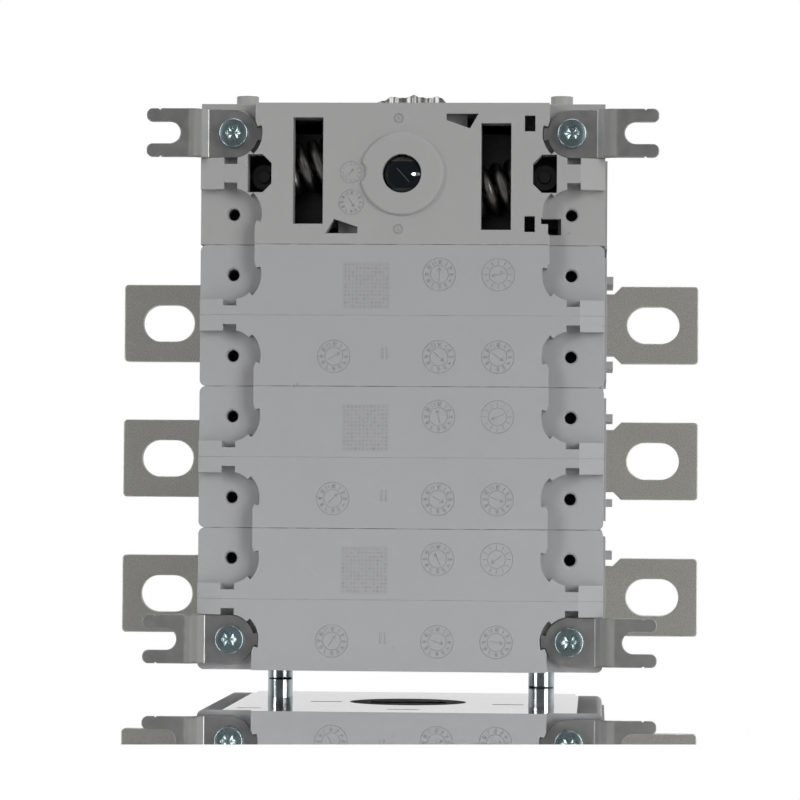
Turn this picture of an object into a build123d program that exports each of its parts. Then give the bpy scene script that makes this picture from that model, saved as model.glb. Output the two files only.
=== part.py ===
from build123d import *
from math import atan2, cos, degrees, pi, radians, sin
import os

# Frame: the origin is the middle of the mounting plane at the back, +Y runs to the front, +Z is up.
# Sizes are in millimetres. Depths are measured from the back wall of the housings, which the feet
# hold a little in front of the mounting plane, and save() moves every piece by that gap.

# Stack of modules
POLE_COUNT = 3
POLE_PITCH = 35.0
MECHANISM_HEIGHT = 35.0
BODY_WIDTH = 100.0
BODY_DEPTH = 92.0
BACK_GAP = 0.8
MODULE_CORNER_R = 1.6
WALL = 3.0

# Seats and screw holes for the mounting feet, cut into the back of every module
HOLE_SIDE = 8.2
HOLE_INSET = 7.5
HOLE_R = 1.45
HOLE_RIM_R = 1.85
HOLE_RIM_DEPTH = 0.5
HOLE_DEPTH = 14.0
SEAT_DEPTH = 3.4
SEAT_INNER = 5.5
SEAT_ROUND_R = 6.2
KEY_ARC_R = 7.25
KEY_ARC_FROM = -15.5
KEY_ARC_TO = 46.0
TAB_SLOT_LEFT = -2.2
TAB_SLOT_RIGHT = 1.1
TAB_SLOT_TOP = 7.7
BAND_BEVEL_WIDTH = 6.0
BAND_BEVEL_DEPTH = 2.2
REAR_WALL = 6.5
FOOT_POST_HALF = 3.4

# Mounting feet
FOOT_THICKNESS = 1.5
FOOT_WIDTH = 12.0
FOOT_KEY_R = 7.05
FOOT_KEY_HALF_ANGLE = 14.0
FOOT_FOLD_START = 6.3
FOOT_FOLD_END = 9.4
FOOT_TIP = 21.4
FOOT_SLOT_FLOOR = 15.7
FOOT_SLOT_R = 2.7
FOOT_TIP_R = 1.5
FOOT_NICK = 0.35
FOOT_NICK_SPAN = 0.8
FOOT_NICK_BACK = 3.3
FOOT_HOLE_FIT = 0.7

# Foot screws
SCREW_HEAD_R = 3.6
SCREW_HEAD_HEIGHT = 2.3
SCREW_SHANK_R = 1.4
SCREW_LENGTH = 10.0
SCREW_STAR_R = 1.75
SCREW_STAR_DEPTH = 1.3
STAR_ROOT = 0.72

# Shape of a pan head as shares of its radius and height
PAN_DOME = [(0.55, 0.0), (0.8, 0.12), (0.94, 0.38), (1.0, 0.75), (1.0, 1.0)]

# Terminals
TERMINAL_Y = 44.5
TERMINAL_THICKNESS = 3.0
TERMINAL_PROUD = 24.25
TERMINAL_WIDTH = 20.0
TERMINAL_NECK = 16.0
TERMINAL_NECK_PROUD = 2.6
TERMINAL_CORNER_R = 1.0
SLOT_CENTRE_PROUD = 12.75
SLOT_WIDTH = 9.4
SLOT_LENGTH = 13.4
TONGUE_TIP_X = 17.2
TONGUE_WIDTH = 8.0
TONGUE_START_X = 30.0
TERMINAL_FIT = 0.1

# Rails beside each terminal that guide a shroud
RAIL_Z = 10.8
RAIL_THICKNESS = 2.0
RAIL_PROUD = 2.3
RAIL_FROM_Y = 33.0
RAIL_TO_Y = 59.0

# Flat panels that stand a little proud on the sides of every module
PANEL_PROUD = 0.6
PANEL_FROM_Y = 14.0
PANEL_TO_Y = 80.0
PANEL_STOP = 2.2
PANEL_TOP = 4.5

# Switching rotor and its blades
ROTOR_R = 14.6
ROTOR_CLEARANCE = 0.4
ROTOR_END_GAP = 0.2
DOG_WIDTH = 6.0
DOG_LENGTH = 20.0
DOG_HEIGHT = 2.5
DOG_FIT = 0.15
BLADE_REACH = 22.0
BLADE_WIDTH = 9.0
BLADE_THICKNESS = 2.0
BLADE_GAP = 0.1
BLADE_FIT = 0.15
BLADE_OFF_ANGLE = 60.0
BLADE_TIP_R = 3.0
LEAF_RISE = 1.1
LEAF_THICKNESS = 0.4
LEAF_SPAN = 20.0
LEAF_WIDTH = 6.3
CHAMBER_R = 23.6
CHAMBER_DEPTH = 8.0

# Arc plates beside each blade's path
ARC_PLATE_COUNT = 4
ARC_PLATE_FIRST = 20.0
ARC_PLATE_STEP = 12.0
ARC_PLATE_THICKNESS = 1.0
ARC_PLATE_INNER_R = 24.3
ARC_PLATE_OUTER_R = 33.0
ARC_POCKET_MARGIN = 8.0
ARC_PLATE_FIT = 0.15
ARC_NOTCH_HALF = 3.0

# Tie rods through the whole stack
ROD_X = 34.6
ROD_OFFSET_Y = 17.0
ROD_R = 3.3
ROD_FIT = 0.15
ROD_BELOW = 5.0
ROD_HEAD_R = 5.0
ROD_HEAD_HEIGHT = 3.0
ROD_HEAD_FLOOR = 2.0
ROD_SEAT_R = 6.5
ROD_CHAMFER = 0.5
ROD_TOP_RECESS = 0.2

# Openings in the back of the mechanism case
TALL_SLOT_X = 23.2
TALL_SLOT_WIDTH = 7.4
TALL_SLOT_HEIGHT = 26.3
TALL_SLOT_SHIFT = 0.7
D_WINDOW_X = 35.2
D_WINDOW_WIDTH = 5.9
D_WINDOW_HEIGHT = 9.4
D_WINDOW_CORNER = 2.2
BOSS_R = 10.2
BOSS_RISE = 0.6
BOSS_BITE_FLOOR = 8.8
BOSS_BITE_RIM = 10.6
BOSS_BITE_TOP = 1.4
BOSS_BITE_LOW = 0.5
BOSS_BITE_FLARE = 2.6
SHAFT_HOLE_R = 4.8
WEDGE_INNER_X = 10.9
WEDGE_OUTER_X = 18.8
WEDGE_TIP_X = 16.7
WEDGE_BASE_Z = 14.8
WEDGE_SHORT_Z = 13.2
WEDGE_TIP_Z = 11.2
KEY_HOLE_X = 31.5
KEY_HOLE_Z = 12.4
KEY_HOLE_WIDTH = 2.6
KEY_HOLE_HEIGHT = 3.9
ELL_LEFT = 34.3
ELL_MID = 36.0
ELL_RIGHT = 39.2
ELL_TOP = -10.9
ELL_STEP = -12.4
ELL_BOTTOM = -14.9

# Pegs and clip on top of the mechanism
PEG_SIDE = 10.8
PEG_Y = 10.0
PEG_R = 2.75
PEG_HEIGHT = 2.5
CLIP_FROM_X = -5.2
CLIP_TO_X = 9.6
CLIP_Y = 10.0
CLIP_WIDTH = 5.0
CLIP_HEIGHT = 2.6
CLIP_THICKNESS = 0.4

# Drive shaft across the mechanism, from back to front
SHAFT_REAR_R = 4.5
SHAFT_R = 6.0
SHAFT_REAR_Y = 1.2
HUB_R = 9.0
HUB_FROM_Y = 76.0
HUB_PROUD = 3.0
SOCKET_SIZE = 8.2
SOCKET_DEPTH = 16.0
SHAFT_CLEARANCE = 0.35

# Toggle crank and the sprung guides that snap it over
CRANK_PIN_ORBIT = 9.5
CRANK_PIN_R = 2.0
CRANK_FROM_Y = 18.0
CRANK_THICKNESS = 3.0
CRANK_PIN_START_Y = 9.0
CRANK_EYE_R = 4.0
CRANK_HUB_R = 8.0
HANDLE_TURN = 90.0
GUIDE_PIVOT_X = 35.0
GUIDE_PIN_R = 1.5
GUIDE_PIN_PROUD = 1.5
GUIDE_Y = 13.5
GUIDE_THICKNESS = 5.0
GUIDE_EYE_R = 3.2
GUIDE_ROD_R = 2.2
GUIDE_SHOULDER = 19.0
GUIDE_FORK_FLOOR = 22.4
GUIDE_FORK_END = 29.4
GUIDE_FORK_HALF_GAP = 3.0
GUIDE_FORK_HALF_WIDTH = 5.0
GUIDE_FIT = 0.05
SPRING_WIRE_R = 1.15
SPRING_COIL_R = 5.3
SPRING_TURNS = 3.3
SPRING_SIDES = 16
SPRING_START = 55.0
SPRING_SEAT_R = 6.45
SPRING_SEAT_THICKNESS = 1.2

# Steel frame plate that carries the guides' pivots
FRAME_Y = 22.0
FRAME_THICKNESS = 2.0
FRAME_SIDE = 9.0
FRAME_HALF_HEIGHT = 12.0
FRAME_CORNER = 3.0
FRAME_SLOT_LENGTH = 14.0
FRAME_SLOT_WIDTH = 6.0

# Ball drive from the shaft to the rotor
BALL_ORBIT = 10.6
BALL_R = 2.5
BALL_SIDES = 8
BALL_NECK_R = 1.5
BALL_LEVER = 13.0
BALL_DISC_Y = 64.0
BALL_DISC_THICKNESS = 3.0
BALL_DISC_R = 9.0
BALL_ARM_MARGIN = 1.0
FORK_SLACK = 0.9
FORK_WALL = 2.5
FORK_REACH = 16.5
FORK_ROOT = 8.0
FORK_TOP_GAP = 0.5
FORK_FLOOR_GAP = 0.4
HEAD_THICKNESS = 2.6

# Front cover
COVER_THICKNESS = 8.0
COVER_COLLAR_R = 15.0
COVER_COLLAR_DEPTH = 1.5
COVER_BEARING_R = 12.0
COVER_SCREW_SIDE = 6.0
COVER_SCREW_Z = 12.5
COVER_SCREW_R = 1.6
COVER_SCREW_HEAD_R = 3.0
COVER_SCREW_HEAD = 2.0
COVER_SCREW_LENGTH = 14.0
COVER_SCREW_SUNK = 0.3
COVER_SCREW_FIT = 0.05
COVER_HEAD_FIT = 0.2
COVER_POST_HALF = 4.0
COVER_POST_LENGTH = 22.0
LABEL_X = 28.0
LABEL_WIDTH = 14.0
LABEL_HEIGHT = 22.0
LABEL_DEPTH = 0.5

# Front step and vents on the poles
FRONT_STEP_WIDTH = 7.0
FRONT_STEP_DEPTH = 9.0
VENT_COUNT = 4
VENT_FIRST_X = 19.0
VENT_PITCH = 5.0
VENT_WIDTH = 2.2
VENT_HEIGHT = 10.0

# Key slots in the lower face of every pole: place in X and Y, and length
KEY_SLOTS = [(-38.0, 13.0, 6.0), (-21.0, 44.0, 8.0), (0.5, 13.0, 8.0), (26.0, 38.0, 8.0)]
KEY_SLOT_WIDTH = 2.0
KEY_SLOT_DEPTH = 2.0

# Places that follow from the sizes above
HALF_WIDTH = BODY_WIDTH / 2
HOLE_X = HALF_WIDTH - HOLE_SIDE
TERMINAL_TIP_X = HALF_WIDTH + TERMINAL_PROUD
TERMINAL_NECK_END_X = HALF_WIDTH + TERMINAL_NECK_PROUD
SLOT_CENTRE_X = HALF_WIDTH + SLOT_CENTRE_PROUD
PEG_X = HALF_WIDTH - PEG_SIDE
FRAME_HALF_WIDTH = HALF_WIDTH - FRAME_SIDE
COVER_SCREW_X = HALF_WIDTH - COVER_SCREW_SIDE
FRONT_STEP_X = HALF_WIDTH - FRONT_STEP_WIDTH
STACK_HEIGHT = POLE_COUNT * POLE_PITCH + MECHANISM_HEIGHT
TOP_Z = STACK_HEIGHT / 2
BASE_Z = -TOP_Z
HALF_POLE = POLE_PITCH / 2
HALF_MECHANISM = MECHANISM_HEIGHT / 2
MECHANISM_Z = TOP_Z - HALF_MECHANISM
ROTOR_Y = TERMINAL_Y + TERMINAL_THICKNESS / 2
BORE_R = ROTOR_R + ROTOR_CLEARANCE
POLE_Z = [TOP_Z - MECHANISM_HEIGHT - POLE_PITCH * (n + 0.5) for n in range(POLE_COUNT)]
TOGGLE_HALF = HANDLE_TURN / 2
PIN_RISE = CRANK_PIN_ORBIT * sin(radians(TOGGLE_HALF))
GUIDE_TILT = degrees(atan2(PIN_RISE, GUIDE_PIVOT_X - PIN_RISE))
FORK_HALF_TURN = degrees(atan2(BALL_ORBIT * sin(radians(TOGGLE_HALF)), BALL_LEVER))


def slab(x0, x1, y0, y1, z0, z1):
    """A plain block between two corners."""
    return Pos((x0 + x1) / 2, (y0 + y1) / 2, (z0 + z1) / 2) * Box(x1 - x0, y1 - y0, z1 - z0)


def along_y(radius, x, z, y0, y1):
    """A round bar that runs from back to front."""
    return Pos(x, (y0 + y1) / 2, z) * Rot(90, 0, 0) * Cylinder(radius, y1 - y0)


def along_z(radius, x, y, z0, z1):
    """A round bar that runs upwards."""
    return Pos(x, y, (z0 + z1) / 2) * Cylinder(radius, z1 - z0)


def from_back(sketch, y0, y1):
    """Extrude a sketch drawn in X and Z from depth y0 to depth y1."""
    return Pos(0, y0, 0) * extrude(Plane.XZ * sketch, -(y1 - y0))


def from_below(sketch, z0, z1):
    """Extrude a sketch drawn in X and Y from height z0 to height z1."""
    return Pos(0, 0, z0) * extrude(sketch, z1 - z0)


def box_sketch(x0, x1, z0, z1):
    """A rectangle between two corners."""
    return Pos((x0 + x1) / 2, (z0 + z1) / 2) * Rectangle(x1 - x0, z1 - z0)


def sector(radius, start, end):
    """A pie slice about the sketch's origin, angles in degrees."""
    first = (radius * cos(radians(start)), radius * sin(radians(start)))
    last = (radius * cos(radians(end)), radius * sin(radians(end)))
    edges = [Line((0, 0), first), CenterArc((0, 0), radius, start, end - start), Line(last, (0, 0))]
    return make_face(edges)


def four_ways(solid):
    """A solid with its mirror images left to right and top to bottom."""
    pair = [solid, mirror(solid, about=Plane.YZ)]
    return pair + [mirror(each, about=Plane.XY) for each in pair]


def seat_sketch():
    """Outline of one foot seat about its screw hole: +X is inwards, +Y is to the module's middle."""
    side = HALF_WIDTH - HOLE_X + 1
    lane = box_sketch(-side, SEAT_INNER, -HOLE_INSET, 0)
    shelf = box_sketch(-side, 0, 0, SEAT_ROUND_R - 0.1)
    tab_slot = box_sketch(TAB_SLOT_LEFT, TAB_SLOT_RIGHT, 0, TAB_SLOT_TOP)
    key_arc = sector(KEY_ARC_R, KEY_ARC_FROM, KEY_ARC_TO)
    return lane + shelf + Circle(SEAT_ROUND_R) + tab_slot + key_arc


def foot_seat(half_height):
    """The cut for one seat and its screw hole, at the lower left of a module's back."""
    rim_y = SEAT_DEPTH + HOLE_RIM_DEPTH
    end_y = SEAT_DEPTH + HOLE_DEPTH
    steps = [(0, 0), (HOLE_RIM_R, 0), (HOLE_RIM_R, SEAT_DEPTH), (HOLE_R, rim_y), (HOLE_R, end_y), (0, end_y)]
    cut = from_back(seat_sketch(), -1, SEAT_DEPTH)
    cut += revolve(make_face(Polyline(*steps, close=True)), Axis.Y)
    return Pos(-HOLE_X, 0, -(half_height - HOLE_INSET)) * cut


def band_bevel(half_height):
    """The slanted cut that lowers a module's back towards its left side."""
    slope = BAND_BEVEL_DEPTH / BAND_BEVEL_WIDTH
    outer = -HALF_WIDTH - 1
    corners = [(outer, -1), (outer, BAND_BEVEL_DEPTH + slope), (outer + 1 + BAND_BEVEL_WIDTH, 0),
               (outer + 1 + BAND_BEVEL_WIDTH, -1)]
    return from_below(make_face(Polyline(*corners, close=True)), -half_height - 1, half_height + 1)


def rod_places():
    """The two corners where the tie rods pass, in X and Y."""
    return [(-ROD_X, ROTOR_Y + ROD_OFFSET_Y), (ROD_X, ROTOR_Y - ROD_OFFSET_Y)]


def rod_holes(z0, z1):
    """Clearance holes for both tie rods."""
    return [along_z(ROD_R + ROD_FIT, x, y, z0, z1) for x, y in rod_places()]


def arc_pocket():
    """The pockets for both stacks of arc plates in one half shell, on opposite sides."""
    last = ARC_PLATE_FIRST + ARC_PLATE_STEP * (ARC_PLATE_COUNT - 1)
    ring = sector(ARC_PLATE_OUTER_R + ARC_PLATE_FIT, ARC_PLATE_FIRST - ARC_POCKET_MARGIN,
                  last + ARC_POCKET_MARGIN)
    return from_below(ring + Rot(0, 0, 180) * ring, 0, CHAMBER_DEPTH)


def half_shell():
    """The upper half of a pole's housing, split at the middle of the pole."""
    outline = box_sketch(-HALF_WIDTH, HALF_WIDTH, 0, HALF_POLE)
    corners = outline.vertices().group_by(Axis.Y)[-1]
    outline = fillet(corners, MODULE_CORNER_R)
    body = from_back(outline, 0, BODY_DEPTH)
    rail = slab(HALF_WIDTH - 1, HALF_WIDTH + RAIL_PROUD, RAIL_FROM_Y, RAIL_TO_Y,
                RAIL_Z - RAIL_THICKNESS / 2, RAIL_Z + RAIL_THICKNESS / 2)
    panel = slab(HALF_WIDTH - 1, HALF_WIDTH + PANEL_PROUD, PANEL_FROM_Y, PANEL_TO_Y,
                 0, HALF_POLE - PANEL_STOP)
    body += [rail, panel, mirror(rail, about=Plane.YZ), mirror(panel, about=Plane.YZ)]
    step = slab(FRONT_STEP_X, HALF_WIDTH + 1, BODY_DEPTH - FRONT_STEP_DEPTH, BODY_DEPTH + 1,
                -1, HALF_POLE + 1)
    body -= [step, mirror(step, about=Plane.YZ)]
    seat = mirror(foot_seat(HALF_POLE), about=Plane.XY)
    bevel = band_bevel(HALF_POLE)
    body -= [seat, bevel, mirror(seat, about=Plane.YZ), mirror(bevel, about=Plane.YZ)]
    chamber = from_below(Circle(CHAMBER_R), -1, CHAMBER_DEPTH)
    bore = from_below(Circle(BORE_R), -1, HALF_POLE + 1)
    body -= Pos(0, ROTOR_Y, 0) * (chamber + bore + arc_pocket())
    half_slot = TERMINAL_NECK / 2 + TERMINAL_FIT
    channel = slab(0, HALF_WIDTH + 1, TERMINAL_Y - TERMINAL_FIT,
                   TERMINAL_Y + TERMINAL_THICKNESS + TERMINAL_FIT, -1, half_slot)
    body -= [channel, mirror(channel, about=Plane.YZ)]
    body -= rod_holes(-1, HALF_POLE + 1)
    body -= front_vents()
    return body


def key_slots():
    """Short slots in a pole's lower face, which locate it on whatever is stacked below."""
    floor_z = KEY_SLOT_DEPTH - HALF_POLE
    slots = []
    for x, y, length in KEY_SLOTS:
        slots.append(slab(x - length / 2, x + length / 2, y - KEY_SLOT_WIDTH / 2,
                          y + KEY_SLOT_WIDTH / 2, -HALF_POLE - 1, floor_z))
    return slots


def front_vents():
    """Slots through the front wall of a half shell, over the arc pocket at the right."""
    slots = []
    for n in range(VENT_COUNT):
        x = VENT_FIRST_X + n * VENT_PITCH
        slot = box_sketch(x - VENT_WIDTH / 2, x + VENT_WIDTH / 2, HALF_POLE - VENT_HEIGHT - WALL,
                          HALF_POLE - WALL)
        slots.append(from_back(slot, BODY_DEPTH - VENT_WIDTH, BODY_DEPTH + 1))
    return slots + [mirror(slot, about=Plane.YZ) for slot in slots]


def terminal():
    """The right-hand terminal: a slotted bar with a neck, and a tongue that meets the blades."""
    wide = TERMINAL_WIDTH / 2
    neck = TERMINAL_NECK / 2
    tongue = TONGUE_WIDTH / 2
    chamfer_end = TERMINAL_NECK_END_X + wide - neck
    upper = [(TONGUE_TIP_X, tongue), (TONGUE_START_X, tongue),
             (TONGUE_START_X + neck - tongue, neck), (TERMINAL_NECK_END_X, neck),
             (chamfer_end, wide), (TERMINAL_TIP_X, wide)]
    lower = [(x, -z) for x, z in reversed(upper)]
    outline = make_face(Polyline(*upper, *lower, close=True))
    outline = fillet(outline.vertices().group_by(Axis.X)[-1], TERMINAL_CORNER_R)
    outline -= Pos(SLOT_CENTRE_X, 0) * SlotOverall(SLOT_LENGTH, SLOT_WIDTH)
    return from_back(outline, TERMINAL_Y, TERMINAL_Y + TERMINAL_THICKNESS)


def fork_slot(length):
    """A slot open at its far end, with a round floor at the foot's mounting hole."""
    return Circle(FOOT_SLOT_R) + box_sketch(-length, 0, -FOOT_SLOT_R, FOOT_SLOT_R)


def fork_nick(edge_z):
    """A tiny nick in an outer edge of the fork, near the tip of its prong."""
    x = FOOT_NICK_BACK - FOOT_TIP
    depth = FOOT_NICK if edge_z < 0 else -FOOT_NICK
    corners = [(x - FOOT_NICK_SPAN / 2, edge_z), (x, edge_z + depth), (x + FOOT_NICK_SPAN / 2, edge_z),
               (x, edge_z - depth)]
    return make_face(Polyline(*corners, close=True))


def mounting_foot():
    """The lower left foot about its screw hole: a keyed seat, a step to the back and a fork."""
    half = FOOT_WIDTH / 2
    seat = Circle(half) + box_sketch(-FOOT_FOLD_START, 0, -half, half)
    seat += sector(FOOT_KEY_R, -FOOT_KEY_HALF_ANGLE, FOOT_KEY_HALF_ANGLE)
    seat -= Circle(SCREW_SHANK_R + FOOT_HOLE_FIT)
    seat_plate = from_back(seat, SEAT_DEPTH - FOOT_THICKNESS, SEAT_DEPTH)
    fork = box_sketch(-FOOT_TIP, -FOOT_FOLD_END, -half, half)
    fork -= Pos(-FOOT_SLOT_FLOOR, 0) * fork_slot(FOOT_TIP)
    fork = fillet(fork.vertices().group_by(Axis.X)[0], FOOT_TIP_R)
    fork -= [fork_nick(half), fork_nick(-half)]
    front_y = FOOT_THICKNESS - BACK_GAP
    fork_plate = from_back(fork, -BACK_GAP, front_y)
    rise = [(-FOOT_FOLD_START, SEAT_DEPTH - FOOT_THICKNESS), (-FOOT_FOLD_START, SEAT_DEPTH),
            (-FOOT_FOLD_END, front_y), (-FOOT_FOLD_END, -BACK_GAP)]
    fold = from_below(make_face(Polyline(*rise, close=True)), -half, half)
    return seat_plate + fold + fork_plate


def star_recess(radius):
    """A six-pointed star for a screw's recess, with blunt points and straight flanks."""
    points = []
    for n in range(6):
        for turn, share in ((-8, 1.0), (8, 1.0), (30, STAR_ROOT)):
            angle = radians(60 * n + turn)
            points.append((radius * share * cos(angle), radius * share * sin(angle)))
    return make_face(Polyline(*points, close=True))


def foot_screw():
    """A pan-head screw about its own hole, with its head on the foot."""
    seat_y = SEAT_DEPTH - FOOT_THICKNESS
    top_y = seat_y - SCREW_HEAD_HEIGHT
    dome = [(SCREW_HEAD_R * across, top_y + SCREW_HEAD_HEIGHT * down) for across, down in PAN_DOME]
    shank = [(SCREW_SHANK_R, seat_y), (SCREW_SHANK_R, seat_y + SCREW_LENGTH), (0, seat_y + SCREW_LENGTH)]
    screw = revolve(make_face(Polyline((0, top_y), *dome, *shank, close=True)), Axis.Y)
    return screw - from_back(star_recess(SCREW_STAR_R), top_y - 1, top_y + SCREW_STAR_DEPTH)


def tie_rods():
    """Two rods from a head at the top to a bare end under the lowest pole."""
    rods = []
    for x, y in rod_places():
        head_z = TOP_Z - ROD_HEAD_HEIGHT
        rod = along_z(ROD_R, x, y, BASE_Z - ROD_BELOW, head_z)
        rod += along_z(ROD_HEAD_R, x, y, head_z, TOP_Z - ROD_TOP_RECESS)
        socket = extrude(RegularPolygon(ROD_R * 0.8, 6), ROD_HEAD_HEIGHT)
        rod -= Pos(x, y, head_z + 1) * socket
        low_edge = rod.edges().filter_by(GeomType.CIRCLE).sort_by(Axis.Z)[0]
        rods.append(chamfer(low_edge, ROD_CHAMFER))
    return rods


def rotor_drum(has_dog):
    """An insulating drum that carries one pair of blades at the off angle, in its own pole's frame."""
    half = HALF_POLE - ROTOR_END_GAP / 2
    drum = Cylinder(ROTOR_R, 2 * half)
    inner = TONGUE_WIDTH / 2
    outer = inner + BLADE_GAP + BLADE_THICKNESS + LEAF_RISE + BLADE_FIT
    window = Box(3 * ROTOR_R, BLADE_WIDTH + 2 * BLADE_FIT, outer - inner)
    middle = (inner + outer) / 2
    for side in (-1, 1):
        drum -= Rot(0, 0, BLADE_OFF_ANGLE) * Pos(0, 0, side * middle) * window
    groove = Box(DOG_LENGTH + 2 * DOG_FIT, DOG_WIDTH + 2 * DOG_FIT, DOG_HEIGHT + DOG_FIT)
    drum -= Pos(0, 0, half - (DOG_HEIGHT + DOG_FIT) / 2) * groove
    if has_dog:
        dog = Box(DOG_LENGTH, DOG_WIDTH, DOG_HEIGHT + ROTOR_END_GAP)
        drum += Pos(0, 0, -half - (DOG_HEIGHT - ROTOR_END_GAP) / 2) * dog
    else:
        drum -= Pos(0, 0, -half + DOG_HEIGHT / 2) * Box(DOG_LENGTH, DOG_WIDTH, DOG_HEIGHT)
    return Pos(0, ROTOR_Y, 0) * drum


def contact_bridge():
    """Two blades, above and below the tongues, in one pole's frame."""
    outline = Rectangle(2 * BLADE_REACH, BLADE_WIDTH)
    outline = fillet(outline.vertices(), BLADE_TIP_R)
    low = TONGUE_WIDTH / 2 + BLADE_GAP
    blade = from_below(Rot(0, 0, BLADE_OFF_ANGLE) * outline, low, low + BLADE_THICKNESS)
    blade = Pos(0, ROTOR_Y, 0) * blade
    return [blade, mirror(blade, about=Plane.XY)]


def contact_leaves():
    """Bowed leaf springs that press each blade towards the tongues."""
    low = TONGUE_WIDTH / 2 + BLADE_GAP + BLADE_THICKNESS
    half = LEAF_SPAN / 2
    rise = LEAF_RISE - LEAF_THICKNESS
    bow = make_face([
        ThreePointArc((-half, low), (0, low + rise), (half, low)),
        Line((half, low), (half, low + LEAF_THICKNESS)),
        ThreePointArc((half, low + LEAF_THICKNESS), (0, low + rise + LEAF_THICKNESS),
                      (-half, low + LEAF_THICKNESS)),
        Line((-half, low + LEAF_THICKNESS), (-half, low)),
    ])
    leaf = from_back(bow, -LEAF_WIDTH / 2, LEAF_WIDTH / 2)
    leaf = Pos(0, ROTOR_Y, 0) * Rot(0, 0, BLADE_OFF_ANGLE) * leaf
    return [leaf, mirror(leaf, about=Plane.XY)]


def arc_plates():
    """Steel plates that split the arc, in two stacks on opposite sides of one pole."""
    length = ARC_PLATE_OUTER_R - ARC_PLATE_INNER_R
    height = 2 * CHAMBER_DEPTH - 2 * ARC_PLATE_FIT
    edge = -length / 2
    notch = make_face(Polyline((edge, ARC_NOTCH_HALF), (0, 0), (edge, -ARC_NOTCH_HALF), close=True))
    outline = Rectangle(length, height) - notch
    plate = from_back(outline, -ARC_PLATE_THICKNESS / 2, ARC_PLATE_THICKNESS / 2)
    plate = Pos(ARC_PLATE_INNER_R + length / 2, 0, 0) * plate
    plates = []
    for n in range(ARC_PLATE_COUNT):
        angle = ARC_PLATE_FIRST + n * ARC_PLATE_STEP
        for side in (0, 180):
            plates.append(Pos(0, ROTOR_Y, 0) * Rot(0, 0, angle + side) * plate)
    return plates


def rear_openings():
    """Every window in the back wall of the mechanism, drawn about the shaft's axis."""
    tall_slot = Rectangle(TALL_SLOT_WIDTH, TALL_SLOT_HEIGHT)
    sketch = Pos(-TALL_SLOT_X, TALL_SLOT_SHIFT) * tall_slot
    sketch += Pos(TALL_SLOT_X, -TALL_SLOT_SHIFT) * tall_slot
    for side in (-1, 1):
        window = Pos(side * D_WINDOW_X, 0) * Rectangle(D_WINDOW_WIDTH, D_WINDOW_HEIGHT)
        inner = window.vertices().sort_by(Axis.X)
        inner = inner[-2:] if side < 0 else inner[:2]
        sketch += chamfer(inner, D_WINDOW_CORNER)
    wedge = [(WEDGE_INNER_X, WEDGE_BASE_Z), (WEDGE_OUTER_X, WEDGE_BASE_Z),
             (WEDGE_TIP_X, WEDGE_TIP_Z), (WEDGE_INNER_X, WEDGE_SHORT_Z)]
    sketch += make_face(Polyline(*wedge, close=True))
    sketch += make_face(Polyline(*[(-x, -z) for x, z in wedge], close=True))
    for z in (-KEY_HOLE_Z, KEY_HOLE_Z):
        sketch += Pos(KEY_HOLE_X, z) * Rectangle(KEY_HOLE_WIDTH, KEY_HOLE_HEIGHT)
    ell = [(ELL_LEFT, ELL_TOP), (ELL_RIGHT, ELL_TOP), (ELL_RIGHT, ELL_BOTTOM),
           (ELL_MID, ELL_BOTTOM), (ELL_MID, ELL_STEP), (ELL_LEFT, ELL_STEP)]
    sketch += make_face(Polyline(*ell, close=True))
    return sketch


def boss_outline():
    """The round boss about the shaft with a shallow flared bite out of its left side."""
    bite = [(-BOSS_BITE_FLOOR, BOSS_BITE_TOP), (-BOSS_BITE_RIM, BOSS_BITE_TOP + BOSS_BITE_FLARE),
            (-BOSS_BITE_RIM, -BOSS_BITE_LOW - BOSS_BITE_FLARE), (-BOSS_BITE_FLOOR, -BOSS_BITE_LOW)]
    return Circle(BOSS_R) - make_face(Polyline(*bite, close=True))


def mechanism_case():
    """The mechanism's housing: back, top, sides and floor in one, open at the front."""
    half = HALF_MECHANISM
    case = slab(-HALF_WIDTH, HALF_WIDTH, 0, BODY_DEPTH - COVER_THICKNESS, -half, half)
    case -= slab(-HALF_WIDTH + WALL, HALF_WIDTH - WALL, REAR_WALL, BODY_DEPTH, -half + WALL, half - WALL)
    panel = slab(HALF_WIDTH - 1, HALF_WIDTH + PANEL_PROUD, PANEL_FROM_Y, PANEL_TO_Y, -half, PANEL_TOP)
    case += [panel, mirror(panel, about=Plane.YZ)]
    for post in four_ways(foot_post()):
        case += post
    for seat in four_ways(foot_seat(half)):
        case -= seat
    bevel = band_bevel(half)
    case -= [bevel, mirror(bevel, about=Plane.YZ)]
    case += from_back(boss_outline(), -BOSS_RISE, 1)
    case -= from_back(rear_openings(), -1, REAR_WALL + 1)
    case -= along_y(SHAFT_HOLE_R, 0, 0, -1, REAR_WALL + 1)
    case -= along_z(BORE_R, 0, ROTOR_Y, -half - 1, -half + WALL + 1)
    front_y = BODY_DEPTH - COVER_THICKNESS
    for x, z in cover_screw_places():
        case += cover_post(x, z, front_y - COVER_POST_LENGTH, front_y)
        case -= along_y(COVER_SCREW_R + COVER_SCREW_FIT, x, z, front_y - COVER_SCREW_LENGTH, front_y + 1)
    for x, y in rod_places():
        case += along_z(ROD_SEAT_R, x, y, half - ROD_HEAD_HEIGHT - ROD_HEAD_FLOOR, half - 1)
        case -= along_z(ROD_R + ROD_FIT, x, y, -half - 1, half + 1)
        case -= along_z(ROD_HEAD_R + ROD_FIT, x, y, half - ROD_HEAD_HEIGHT, half + 1)
    for side in (-1, 1):
        case += along_z(PEG_R, side * PEG_X, PEG_Y, half - 1, half + PEG_HEIGHT)
    return Pos(0, 0, MECHANISM_Z) * case


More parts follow.
